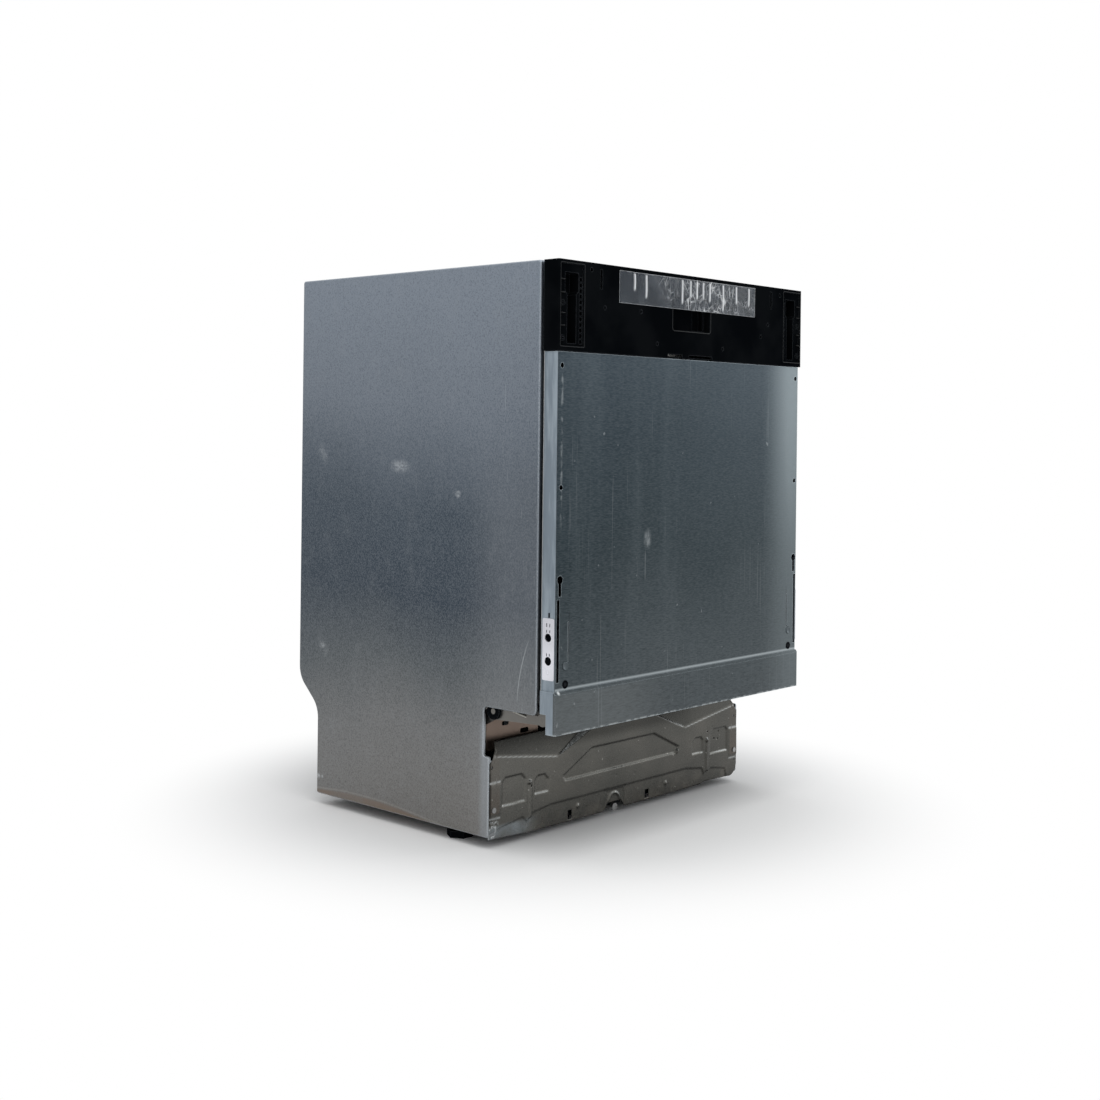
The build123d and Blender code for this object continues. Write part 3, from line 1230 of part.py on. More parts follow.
def fascia_pocket(side):
    """One bracket pocket at the fascia's end: a flared well, a ladder of cells and screw bosses."""
    floor = FASCIA_FRONT + POCKET_STEP
    block(sided(side, POCKET_IN, POCKET_OUT), (FRONT, floor), (POCKET_LOW, POCKET_HIGH), Mode.SUBTRACT)
    well = (
        (WELL_IN + WELL_FLARE, WELL_LOW),
        (WELL_OUT - WELL_FLARE, WELL_LOW),
        (WELL_OUT - WELL_FLARE, WELL_NECK),
        (WELL_OUT, WELL_NECK + WELL_FLARE),
        (WELL_OUT, WELL_HIGH),
        (WELL_IN, WELL_HIGH),
        (WELL_IN, WELL_NECK + WELL_FLARE),
        (WELL_IN + WELL_FLARE, WELL_NECK),
    )
    with BuildSketch(front_plane(FASCIA_FRONT + WELL_DEPTH)) as area:
        Polygon(*[(side * x, z) for x, z in well], align=None)
    extrude(area.sketch, amount=WELL_DEPTH, mode=Mode.SUBTRACT)
    for number in range(CELL_COUNT):
        low = WELL_LOW + number * CELL_PITCH
        block(sided(side, CELL_IN, CELL_OUT), (floor, FASCIA_FRONT + CELL_DEPTH), (low, low + CELL_HEIGHT),
              Mode.SUBTRACT)
    for z in BOSS_Z:
        rod_y(side * BOSS_X, (FASCIA_FRONT + SHEET, floor), z, BOSS_RADIUS)
        rod_y(side * BOSS_X, (FRONT, FASCIA_FRONT + CELL_DEPTH), z, PILOT_RADIUS, Mode.SUBTRACT)


def fascia():
    """The black control panel: a shell with bracket pockets, a grip recess and the button openings."""
    half = HALF - FASCIA_INSET
    wall = (FRONT, FASCIA_WALL_BACK + SHEET)
    end = POCKET_IN - PLASTIC
    shelf = HEIGHT - BUTTON_SHELF
    roof = (HEIGHT - 2 * PLASTIC, HEIGHT + SHEET)
    with BuildPart() as shell:
        block((-half, half), (FASCIA_FRONT, DOOR_BACK), (FASCIA_LOW, HEIGHT))
        fillet(shell.edges().filter_by(Axis.Z).group_by(Axis.Y)[0], DOOR_BEND)
        block((-end, end), (FASCIA_WALL_BACK, DOOR_BACK + SHEET), (FASCIA_LOW + PLASTIC, HEIGHT - PLASTIC),
              Mode.SUBTRACT)
        block(span(0, 2 * (RECESS_HALF + PLASTIC)), (FASCIA_FRONT, FASCIA_FRONT + RECESS_DEEP + PLASTIC),
              (RECESS_FLOOR - PLASTIC, RECESS_CEILING + PLASTIC))
        block(span(0, 2 * RECESS_HALF), (FRONT, FASCIA_FRONT + RECESS_DEPTH),
              (RECESS_FLOOR, RECESS_CEILING), Mode.SUBTRACT)
        block(RECESS_DEEP_X, (FRONT, FASCIA_FRONT + RECESS_DEEP),
              (RECESS_FLOOR + PLASTIC, RECESS_CEILING - PLASTIC), Mode.SUBTRACT)
        for side in BOTH_SIDES:
            fascia_pocket(side)
            block(span(side * FASCIA_SLOT_X, FASCIA_SLOT_WIDTH), wall, FASCIA_SLOT_Z, Mode.SUBTRACT)
            block(sided(side, CATCH_HALF, CATCH_HALF + LATCH_CHEEK),
                  (FASCIA_FRONT, LATCH_Y + 2 * LATCH_CHEEK), span(LATCH_Z, 2 * LATCH_CHEEK))
        rod_x((-CATCH_HALF, CATCH_HALF), LATCH_Y, LATCH_Z, LATCH_PIN)
        for x, z in FASCIA_HOLES:
            rod_y(x, wall, z, DIMPLE_RADIUS, Mode.SUBTRACT)
        for x, z in FASCIA_DIMPLES:
            rod_y(x, (FRONT, FASCIA_FRONT + DIMPLE_DEPTH), z, DIMPLE_RADIUS, Mode.SUBTRACT)
        for x in FASCIA_NOTCHES:
            block(x, wall, (FASCIA_LOW - SHEET, FASCIA_LOW + NOTCH_RISE), Mode.SUBTRACT)
        for x in BUTTON_X.values():
            block(span(x, BUTTON_LENGTH), (FASCIA_FRONT, BUTTON_Y + BUTTON_WIDTH / 2),
                  (shelf - PLASTIC, shelf))
            block(span(x, BUTTON_LENGTH), span(BUTTON_Y, BUTTON_WIDTH), roof, Mode.SUBTRACT)
        block(DISPLAY_X, span(BUTTON_Y, DISPLAY_WIDTH), roof, Mode.SUBTRACT)
    return shell.part


def fascia_film():
    """The clear protective film left on the fascia's front."""
    with BuildPart() as film:
        block(FILM_X, (FRONT, FASCIA_FRONT), FILM_Z)
    return film.part


def button(x):
    """A push button in the fascia's top edge: cap, captive rim and stem."""
    under = HEIGHT - PLASTIC - CLEAR
    low = under - BUTTON_RIM
    stem = BUTTON_WIDTH / 2
    with BuildPart() as cap:
        block(span(x, BUTTON_LENGTH - 2 * CLEAR), span(BUTTON_Y, BUTTON_WIDTH - 2 * CLEAR),
              (under, HEIGHT - BUTTON_SUNK))
        fillet(cap.faces().sort_by(Axis.Z)[-1].edges(), CLEAR)
        block(span(x, BUTTON_LENGTH + BUTTON_RIM), span(BUTTON_Y, BUTTON_WIDTH + BUTTON_RIM), (low, under))
        block(span(x, stem), span(BUTTON_Y, stem), (HEIGHT - BUTTON_SHELF + BUTTON_TRAVEL + CLEAR, low))
    return cap.part


def display_window():
    """The display's window, flush in the fascia's top edge."""
    with BuildPart() as window:
        block(DISPLAY_X, span(BUTTON_Y, DISPLAY_WIDTH), (HEIGHT - PLASTIC, HEIGHT))
    return window.part


def control_board():
    """The control unit's box behind the fascia's front wall."""
    back = FASCIA_WALL_BACK + BOARD_DEPTH
    with BuildPart() as box:
        block(BOARD_X, (FASCIA_WALL_BACK, back), BOARD_Z)
        fillet(box.edges().filter_by(Axis.Y), TRAY_WALL)
        block((BOARD_X[0] + PLASTIC, BOARD_X[1] - PLASTIC), (FASCIA_WALL_BACK + PLASTIC, back - PLASTIC),
              (BOARD_Z[0] + PLASTIC, BOARD_Z[1] - PLASTIC), Mode.SUBTRACT)
    return box.part


def latch_lever():
    """The sprung lever that holds the door on the catch tongue."""
    half = CATCH_HALF - CLEAR
    nose = CATCH_Z[0] - CLEAR
    body = LATCH_CHEEK - 2 * SHEET
    with BuildPart() as lever:
        block((-half, half), (LATCH_Y - body, LATCH_Y + 2 * LATCH_CHEEK + body), span(LATCH_Z, 2 * body))
        block((-half, half), (LATCH_Y + LATCH_CHEEK, LATCH_Y + 2 * LATCH_CHEEK + body), (LATCH_Z, nose))
        rod_x((-half, half), LATCH_Y, LATCH_Z, LATCH_PIN + RUNNING, Mode.SUBTRACT)
    return lever.part


def door_side_plates():
    """The white plastic plates on the door's two sides, each with two holes."""
    middle = sum(PLATE_Y) / 2
    plates = []
    for side in BOTH_SIDES:
        with BuildPart() as plate:
            block(sided(side, PANEL_HALF, PANEL_HALF + PLATE_THICK), PLATE_Y, PLATE_Z)
            fillet(plate.edges().filter_by(Axis.X), 2 * SHEET)
            for z in PLATE_HOLES:
                rod_x(sided(side, PANEL_HALF - SHEET, HALF), middle, z, KEYHOLE_RADIUS - SHEET, Mode.SUBTRACT)
        plates.append(plate.part)
    return Compound(plates)


def dispenser_body():
    """The detergent dispenser set into the inner door, with its open chamber."""
    rim_back = BULGE_BACK + RIM_THICK
    with BuildPart() as body:
        block(DISPENSER_X, (DISPENSER_FRONT, BULGE_BACK), DISPENSER_Z)
        block((DISPENSER_X[0] - DISPENSER_RIM, DISPENSER_X[1] + DISPENSER_RIM), (BULGE_BACK, rim_back),
              (DISPENSER_Z[0] - DISPENSER_RIM, DISPENSER_Z[1] + DISPENSER_RIM))
        fillet(body.edges().filter_by(Axis.Y).group_by(Axis.Y)[-1], LEDGE)
        block(CHAMBER_X, (rim_back - CHAMBER_DEPTH, rim_back + SHEET), CHAMBER_Z, Mode.SUBTRACT)
        rod_y(CAP_X, (rim_back - CHAMBER_DEPTH, rim_back + SHEET), CAP_Z, CAP_PLUG + RUNNING, Mode.SUBTRACT)
    return body.part


def dispenser_lid():
    """The chamber's lid, which slides up along the inner door."""
    back = BULGE_BACK + RIM_THICK + CLEAR
    x = (CHAMBER_X[0] - LID_LAP, CHAMBER_X[1] + LID_LAP)
    z = (CHAMBER_Z[0] - LID_LAP, CHAMBER_Z[1] + LID_LAP)
    with BuildPart() as lid:
        block(x, (back, back + LID_THICK), z)
        fillet(lid.edges().filter_by(Axis.Y), LEDGE)
    return lid.part


def rinse_aid_cap():
    """The rinse aid filler's quarter-turn cap."""
    back = BULGE_BACK + RIM_THICK + CLEAR
    with BuildPart() as cap:
        rod_y(CAP_X, (back, back + TRAY_WALL), CAP_Z, CAP_RADIUS)
        rod_y(CAP_X, (back - 4 * TRAY_WALL, back), CAP_Z, CAP_PLUG)
        block(span(CAP_X, 2 * CAP_PLUG), (back + TRAY_WALL, back + CAP_THICK), span(CAP_Z, 2 * TRAY_WALL))
    return cap.part


side_left = side_panel()
keep(side_left, "side_panel_left")
keep(mirror(side_left, about=Plane.YZ), "side_panel_right")
keep(rear_panel(), "rear_panel")
keep(top_front_rail(), "top_front_rail")
keep(tub_shell(), "tub_shell")
keep(tub_floor(), "tub_floor")
keep(door_seal(), "door_seal")
keep(tub_top_mat(), "tub_top_mat")
keep(base_pan(), "base_pan")
for foot_name, place in zip(("front_foot_left", "front_foot_right", "rear_foot"), foot_places()):
    keep(foot(*place), foot_name)
keep(rear_foot_adjuster(), "rear_foot_adjuster")
keep(plinth_panel(), "plinth_panel")
keep(plinth_screws(), "plinth_screws")
keep(hinge_brackets(), "hinge_brackets")
keep(hinge_arms(), "hinge_arms")
keep(spring_pulleys(), "spring_pulleys")
keep(spring_ropes(), "spring_ropes")
keep(door_springs(), "door_springs")
keep(sump(), "sump")
keep(fine_filter(), "fine_filter")
keep(filter_cylinder(), "filter_cylinder")
keep(softener_tank(), "softener_tank")
keep(salt_cap(), "salt_cap")
keep(pump_housing(), "pump_housing")
keep(pump_impeller(), "pump_impeller")
keep(drain_pump(), "drain_pump")
keep(float_ring(), "float")
for outlet_name in REAR_OUTLETS:
    keep(rear_outlet(outlet_name), outlet_name)
keep(heat_exchanger(), "heat_exchanger")
keep(feed_pipe(), "feed_pipe")
keep(rack_rails(), "rack_rails")
keep(door_catch(), "door_catch")
keep(spray_arm_support(), "spray_arm_support")
keep(spray_arm(SUPPORT_TOP + PIN_LENGTH / 2, LOWER_ARM_REACH, LOWER_PIN), "lower_spray_arm")
keep(lower_rack(), "lower_rack")
for wheel_name, wheel_y in zip(("lower_front_wheels", "lower_rear_wheels"), WHEEL_Y):
    keep(rack_wheels(wheel_y), wheel_name)
keep(fold_down_tines(), "fold_down_tines")
keep(cutlery_basket(), "cutlery_basket")
keep(upper_rack(), "upper_rack")
keep(upper_feed_tube(), "upper_feed_tube")
keep(spray_arm(UPPER_HUB - PIN_LENGTH / 2, UPPER_ARM_REACH, UPPER_PIN), "upper_spray_arm")
keep(door_outer_panel(), "door_outer_panel")
keep(door_liner(), "door_liner")
keep(fascia(), "fascia")
keep(fascia_film(), "fascia_film")
for button_name, button_x in BUTTON_X.items():
    keep(button(button_x), button_name)
keep(display_window(), "display_window")
keep(control_board(), "control_board")
keep(latch_lever(), "latch_lever")
keep(door_side_plates(), "door_side_plates")
keep(dispenser_body(), "dispenser_body")
keep(dispenser_lid(), "dispenser_lid")
keep(rinse_aid_cap(), "rinse_aid_cap")
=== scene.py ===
"""Built-in dishwasher: finishes, dressed pieces, camera and studio. Metres, with the front towards -Y."""
import json
import math

import bmesh
import bpy
from mathutils import Matrix, Vector, noise


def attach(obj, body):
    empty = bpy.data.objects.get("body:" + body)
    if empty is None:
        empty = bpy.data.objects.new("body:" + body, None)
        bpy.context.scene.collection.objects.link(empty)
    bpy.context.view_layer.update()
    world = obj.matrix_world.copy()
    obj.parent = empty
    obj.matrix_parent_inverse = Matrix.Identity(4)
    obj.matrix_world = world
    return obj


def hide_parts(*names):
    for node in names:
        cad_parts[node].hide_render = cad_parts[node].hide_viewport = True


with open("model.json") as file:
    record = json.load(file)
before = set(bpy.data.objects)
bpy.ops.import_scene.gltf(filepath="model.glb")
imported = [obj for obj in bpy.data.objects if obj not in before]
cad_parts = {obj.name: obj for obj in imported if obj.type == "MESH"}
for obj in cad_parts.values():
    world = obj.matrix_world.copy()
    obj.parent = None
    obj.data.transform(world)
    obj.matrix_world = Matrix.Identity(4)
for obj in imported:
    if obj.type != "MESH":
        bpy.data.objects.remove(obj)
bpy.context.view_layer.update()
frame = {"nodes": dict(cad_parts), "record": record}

MM = 0.001
SIDES = (-1, 1)
ENDS = ((-1, "left"), (1, "right"))

# Places taken from the model, in millimetres
HEIGHT = 825.0
FRONT = -275.0
DOOR_SKIN = -272.0
PLINTH_FACE = -154.0

# Cosine between the rounded and the true surface at a sharp edge, and on the flat
EDGE_SHARP, EDGE_FLAT = 0.75, 0.995
SHEET_METAL = {"Metallic": 0.9, "Specular_IOR_Level": 0.5}


class Finish:
    """A material made of procedural nodes in the object's own coordinates."""

    def __init__(self, name):
        self.material = bpy.data.materials.new(name)
        self.material.use_nodes = True
        self.tree = self.material.node_tree
        self.shader = self.tree.nodes["Principled BSDF"]
        self.place = self.node("TexCoord").outputs["Object"]
        parts = self.node("SeparateXYZ")
        self.link(self.place, parts.inputs[0])
        self.x, self.y, self.z = parts.outputs

    def node(self, kind, **settings):
        made = self.tree.nodes.new("ShaderNode" + kind)
        for key, value in settings.items():
            setattr(made, key, value)
        return made

    def link(self, source, target):
        self.tree.links.new(source, target)

    def feed(self, target, value):
        """Links a socket, or sets a plain value."""
        if isinstance(value, bpy.types.NodeSocket):
            self.link(value, target)
        else:
            target.default_value = value

    def set(self, **values):
        """Plain values on the shader, by socket name with underscores."""
        for key, value in values.items():
            self.shader.inputs[key.replace("_", " ")].default_value = value

    def stretched(self, stretch, turn=(0, 0, 0)):
        """The place, turned and stretched."""
        mapping = self.node("Mapping")
        mapping.inputs["Scale"].default_value = stretch
        mapping.inputs["Rotation"].default_value = turn
        self.link(self.place, mapping.inputs["Vector"])
        return mapping.outputs[0]

    def noise(self, scale, detail=2.0, stretch=(1, 1, 1), rough=0.5, turn=(0, 0, 0)):
        made = self.node("TexNoise")
        for key, number in (("Scale", scale), ("Detail", detail), ("Roughness", rough)):
            made.inputs[key].default_value = number
        self.link(self.stretched(stretch, turn), made.inputs["Vector"])
        return made.outputs[0]

    def math(self, operation, first, second=0.0, third=0.0):
        made = self.node("Math", operation=operation)
        for socket, value in zip(made.inputs, (first, second, third)):
            self.feed(socket, value)
        return made.outputs[0]

    def times(self, first, second):
        return self.math("MULTIPLY", first, second)

    def most(self, first, second):
        return self.math("MAXIMUM", first, second)

    def rise(self, value, low, high, bottom=0.0, top=1.0):
        """A smooth change from bottom to top as value goes from low to high."""
        made = self.node("MapRange", interpolation_type="SMOOTHSTEP")
        self.feed(made.inputs["Value"], value)
        for key, number in (("From Min", low), ("From Max", high), ("To Min", bottom), ("To Max", top)):
            made.inputs[key].default_value = number
        return made.outputs[0]

    def fall(self, value, low, high):
        """A smooth change from one to nothing as value goes from low to high."""
        return self.rise(value, low, high, 1.0, 0.0)

    def mark(self, name):
        """A value stored on the points of the mesh."""
        return self.node("Attribute", attribute_name=name).outputs["Fac"]

    def band(self, value, middle, width):
        """One at the middle, falling to nothing at half a width either side."""
        away = self.math("ABSOLUTE", self.math("SUBTRACT", value, middle))
        return self.fall(away, 0.0, width / 2)

    def spot(self, centre, radius, stretch=(1, 1, 1)):
        """A soft round mark about a place, in metres."""
        away = self.node("VectorMath", operation="DISTANCE")
        self.link(self.stretched(stretch), away.inputs[0])
        away.inputs[1].default_value = [c * s for c, s in zip(centre, stretch)]
        return self.fall(away.outputs["Value"], 0.0, radius)

    def tones(self, value, stops):
        made = self.node("ValToRGB")
        ramp = made.color_ramp
        while len(ramp.elements) < len(stops):
            ramp.elements.new(0.5)
        for element, (place, colour) in zip(ramp.elements, stops):
            element.position = place
            element.color = (*colour, 1.0)
        self.feed(made.inputs["Fac"], value)
        return made.outputs["Color"]

    def mix(self, share, first, second):
        made = self.node("Mix", data_type="RGBA")
        self.feed(made.inputs["Factor"], share)
        for socket, value in ((made.inputs[6], first), (made.inputs[7], second)):
            self.feed(socket, value if isinstance(value, bpy.types.NodeSocket) else (*value, 1.0))
        return made.outputs[2]

    def edge(self, radius):
        """How near a point is to a bend or a cut edge."""
        bevel = self.node("Bevel", samples=4)
        bevel.inputs["Radius"].default_value = radius
        dot = self.node("VectorMath", operation="DOT_PRODUCT")
        self.link(bevel.outputs[0], dot.inputs[0])
        self.link(self.node("NewGeometry").outputs["Normal"], dot.inputs[1])
        return self.fall(dot.outputs["Value"], EDGE_SHARP, EDGE_FLAT)

    def relief(self, height, strength, distance):
        bump = self.node("Bump")
        bump.inputs["Strength"].default_value = strength
        bump.inputs["Distance"].default_value = distance
        self.link(height, bump.inputs["Height"])
        self.link(bump.outputs[0], self.shader.inputs["Normal"])

    def colour(self, tone):
        self.tone = tone
        self.link(tone, self.shader.inputs["Base Color"])

    def lay(self, share, colour, strength=1.0):
        """Lays a colour over the tone so far."""
        if strength != 1.0:
            share = self.times(share, strength)
        self.colour(self.mix(share, self.tone, colour))

    def rough(self, value):
        self.feed(self.shader.inputs["Roughness"], value)


# Scuffs on the cabinet sides: y, z, radius, how flat, strength
SIDE_SCUFFS = (
    (0.040, 0.5358, 0.030, 2.2, 0.50),
    (-0.0854, 0.4987, 0.0075, 1.0, 0.75),
    (0.224, 0.556, 0.012, 0.7, 0.20),
    (0.216, 0.547, 0.012, 0.7, 0.22),
    (0.216, 0.250, 0.014, 1.8, 0.36),
    (0.209, 0.243, 0.009, 0.6, 0.16),
    (0.225, 0.0435, 0.009, 1.6, 1.0),
    (0.214, 0.0440, 0.005, 1.3, 0.7),
)
# A curved scratch: where its foot stands and how fast it bends away
SCRATCH_Y, SCRATCH_FOOT, SCRATCH_BEND = -0.207, 0.205, 2.2


def side_finish():
    """Galvanised cabinet sheet: grey-blue, with a fine grain, scuffs and a scratch; a painted reflection
    darkens the middle height, a brown band along the hem is a painted reflection of a brownish floor, and the
    bends are brightened by a painted highlight.
    """
    f = Finish("galvanised_side")
    f.set(**SHEET_METAL)
    # Darker through the middle height and lighter towards the top and bottom, with a slow drift: a painted
    # reflection of the surroundings.
    height = f.math("DIVIDE", f.z, HEIGHT * MM)
    drift = f.math("MULTIPLY_ADD", f.noise(2.2, 3.0), 0.24, -0.12)
    f.colour(f.tones(f.math("ADD", height, drift), (
        (0.00, (0.190, 0.182, 0.170)),
        (0.16, (0.160, 0.162, 0.162)),
        (0.27, (0.092, 0.104, 0.112)),
        (0.40, (0.036, 0.052, 0.072)),
        (0.56, (0.052, 0.072, 0.096)),
        (0.76, (0.156, 0.184, 0.222)),
        (1.00, (0.205, 0.240, 0.288)),
    )))
    grain = f.noise(620, 3.0, (1, 1.0, 0.8), 0.70, (0.5, 0, 0))
    f.lay(f.rise(grain, 0.40, 0.66, 0.0, 0.24), (0.34, 0.36, 0.38))
    f.lay(f.rise(grain, 0.34, 0.50, 0.36, 0.0), (0.030, 0.036, 0.042))
    patch = f.noise(34, 4.0, (1, 1, 0.6), 0.6)
    f.lay(f.rise(patch, 0.52, 0.80, 0.0, 0.10), (0.32, 0.34, 0.36))
    broken = f.rise(f.noise(170, 5.0, (1, 1, 1.8), 0.6), 0.36, 0.64, 0.25, 1.0)
    scuffs = 0.0
    for y, z, radius, flat, strength in SIDE_SCUFFS:
        mark = f.times(f.spot((0, y, z), radius, (0, 1, flat)), broken)
        scuffs = f.most(scuffs, f.times(mark, strength))
    climb = f.math("POWER", f.math("SUBTRACT", f.z, SCRATCH_FOOT), 2.0)
    curve = f.math("MULTIPLY_ADD", climb, SCRATCH_BEND, f.math("SUBTRACT", f.y, SCRATCH_Y))
    curve = f.times(f.band(curve, 0.0, 0.0022), f.rise(f.z, SCRATCH_FOOT, 0.24))
    curve = f.times(curve, f.fall(f.z, 0.275, 0.315))
    fine = f.rise(f.noise(11, 2.0, (1, 55, 1.4), 0.4, (0.22, 0, 0)), 0.70, 0.74)
    fine = f.times(fine, f.rise(f.y, -0.10, -0.23))
    marks = f.most(scuffs, f.times(curve, 0.5))
    marks = f.most(marks, f.times(fine, 0.28))
    f.lay(marks, (0.55, 0.58, 0.60))
    front = f.times(f.rise(f.y, -0.08, -0.19), f.fall(f.z, 0.45, 0.62))
    f.lay(front, (0.45, 0.46, 0.48), 0.12)
    turned = f.times(f.rise(f.y, -0.131, -0.144), f.fall(f.z, 0.165, 0.190))
    f.lay(turned, (0.36, 0.40, 0.44), 0.34)
    # A brown band along the hem, higher towards the back: a painted reflection of a brownish floor, with a
    # lighter line along its top edge.
    lean = f.math("SUBTRACT", f.z, f.rise(f.y, -0.13, 0.10, 0.013, 0.0285))
    lean = f.math("ADD", lean, f.rise(f.y, 0.15, 0.235, 0.0, 0.005))
    patchy = f.rise(f.noise(24, 3.0), 0.35, 0.60, 0.50, 0.85)
    f.lay(f.times(f.fall(lean, -0.003, 0.001), patchy), (0.205, 0.160, 0.128))
    f.lay(f.band(lean, 0.0015, 0.005), (0.34, 0.32, 0.30), 0.34)
    # Bends and cut edges lightened: a painted highlight.
    f.lay(f.edge(0.0022), (0.62, 0.68, 0.73), 0.90)
    f.rough(f.math("ADD", f.rise(grain, 0.30, 0.70, 0.40, 0.50), f.times(marks, 0.15)))
    f.relief(grain, 0.05, 0.0004)
    return f.material


# Places on the door skin, in metres
JOGGLE_Z = 0.2385
SKIRT_CORNER = (-0.287, 0.0, 0.2345)
SMEAR = (-0.096, 0.0, 0.436)
DRIP_X, RUB_X, SLIT_X = -0.101, -0.2845, 0.2655


def door_finish():
    """Galvanised door skin: darker blue-grey with short level streaks and faint upright scratches."""
    f = Finish("galvanised_door")
    f.set(**SHEET_METAL)
    # Darker through the middle height and lighter low down and towards the top, with a slow drift: a painted
    # reflection of the surroundings.
    drift = f.math("MULTIPLY_ADD", f.noise(3.0, 3.0, (1, 1, 0.7)), 0.30, -0.15)
    height = f.math("ADD", f.math("DIVIDE", f.z, HEIGHT * MM), drift)
    f.colour(f.tones(height, (
        (0.20, (0.052, 0.062, 0.067)),
        (0.32, (0.042, 0.054, 0.060)),
        (0.50, (0.012, 0.023, 0.029)),
        (0.68, (0.013, 0.025, 0.034)),
        (0.86, (0.028, 0.043, 0.056)),
    )))
    streaks = f.noise(420, 4.0, (0.32, 1, 1.6), 0.7)
    f.lay(f.rise(streaks, 0.36, 0.72, 0.0, 0.13), (0.28, 0.31, 0.335))
    f.lay(f.rise(streaks, 0.30, 0.46, 0.35, 0.0), (0.010, 0.013, 0.016))
    wide = f.noise(16, 3.0, (1.0, 1, 0.10), 0.55)
    f.lay(f.rise(wide, 0.50, 0.74, 0.0, 0.06), (0.24, 0.28, 0.30))
    # Lighter towards the right edge and higher up: a painted sheen.
    right_sheen = f.times(f.rise(f.x, 0.185, 0.280), f.rise(f.z, 0.25, 0.70, 0.16, 0.42))
    f.lay(right_sheen, (0.32, 0.37, 0.39))
    # A light line along the joggle: a painted highlight.
    joggle_highlight = f.times(f.band(f.z, JOGGLE_Z, 0.006), f.rise(f.y, -0.2712, -0.2720))
    f.lay(joggle_highlight, (0.36, 0.40, 0.42), 0.75)
    # A bright spot at the skirt's corner: a painted glint.
    corner = f.spot(SKIRT_CORNER, 0.0040, (1, 0, 1))
    f.lay(corner, (0.80, 0.84, 0.86), 0.8)
    lines = f.rise(f.noise(13, 2.0, (34, 1, 0.35), 0.35), 0.685, 0.72)
    broken = f.rise(f.noise(120, 4.0, (1, 1, 0.5), 0.7), 0.45, 0.62)
    lines = f.times(lines, f.rise(f.noise(7, 2.0), 0.42, 0.60))
    smear = f.times(f.spot(SMEAR, 0.019, (1.7, 0, 1)), f.rise(broken, 0.0, 0.6, 0.45, 1.0))
    drip = f.times(f.band(f.x, DRIP_X, 0.0024), f.rise(f.z, 0.372, 0.384))
    drip = f.times(drip, f.fall(f.z, 0.410, 0.424))
    rub = f.times(f.band(f.x, RUB_X, 0.007), broken)
    rub = f.times(rub, f.times(f.rise(f.z, 0.44, 0.50), f.fall(f.z, 0.66, 0.69)))
    specks = f.rise(f.noise(95, 2.0, (1, 1, 0.8), 0.4), 0.745, 0.775)
    marks = f.most(f.times(lines, 0.07), f.times(rub, 0.24))
    marks = f.most(marks, f.times(f.most(smear, f.times(drip, 0.5)), 0.34))
    marks = f.most(marks, f.times(specks, 0.18))
    # A dark line down each side where the mesh has no slit: painted shade.
    slit = f.times(f.band(f.math("ABSOLUTE", f.x), SLIT_X, 0.0026), f.rise(f.z, 0.276, 0.284))
    slit = f.times(slit, f.fall(f.z, 0.335, 0.350))
    f.lay(slit, (0.010, 0.012, 0.014), 0.7)
    skirt = f.times(f.rise(f.x, -0.02, -0.20), f.fall(f.z, 0.228, 0.236))
    f.lay(skirt, (0.50, 0.51, 0.50), 0.09)
    worn = f.times(f.fall(f.z, 0.1778, 0.1802), f.rise(f.noise(120, 3.0), 0.40, 0.60))
    f.lay(worn, (0.50, 0.53, 0.54), 0.45)
    # The side flange drawn lighter and bluer than the front face of the same sheet: a painted sheen, with
    # streaky tone.
    flange = f.rise(f.y, -0.2715, -0.2705)
    cloud = f.rise(f.noise(70, 4.0, (1, 1, 0.15), 0.6), 0.38, 0.64)
    clouded = f.mix(cloud, (0.29, 0.345, 0.40), (0.44, 0.51, 0.575))
    f.lay(flange, clouded, 0.66)
    f.lay(marks, (0.55, 0.59, 0.61))
    # Bends and cut edges lightened: a painted highlight.
    f.lay(f.edge(0.0018), (0.48, 0.54, 0.58), 0.65)
    f.rough(f.math("ADD", f.rise(streaks, 0.34, 0.70, 0.40, 0.50), f.times(marks, 0.15)))
    f.relief(streaks, 0.06, 0.0004)
    return f.material


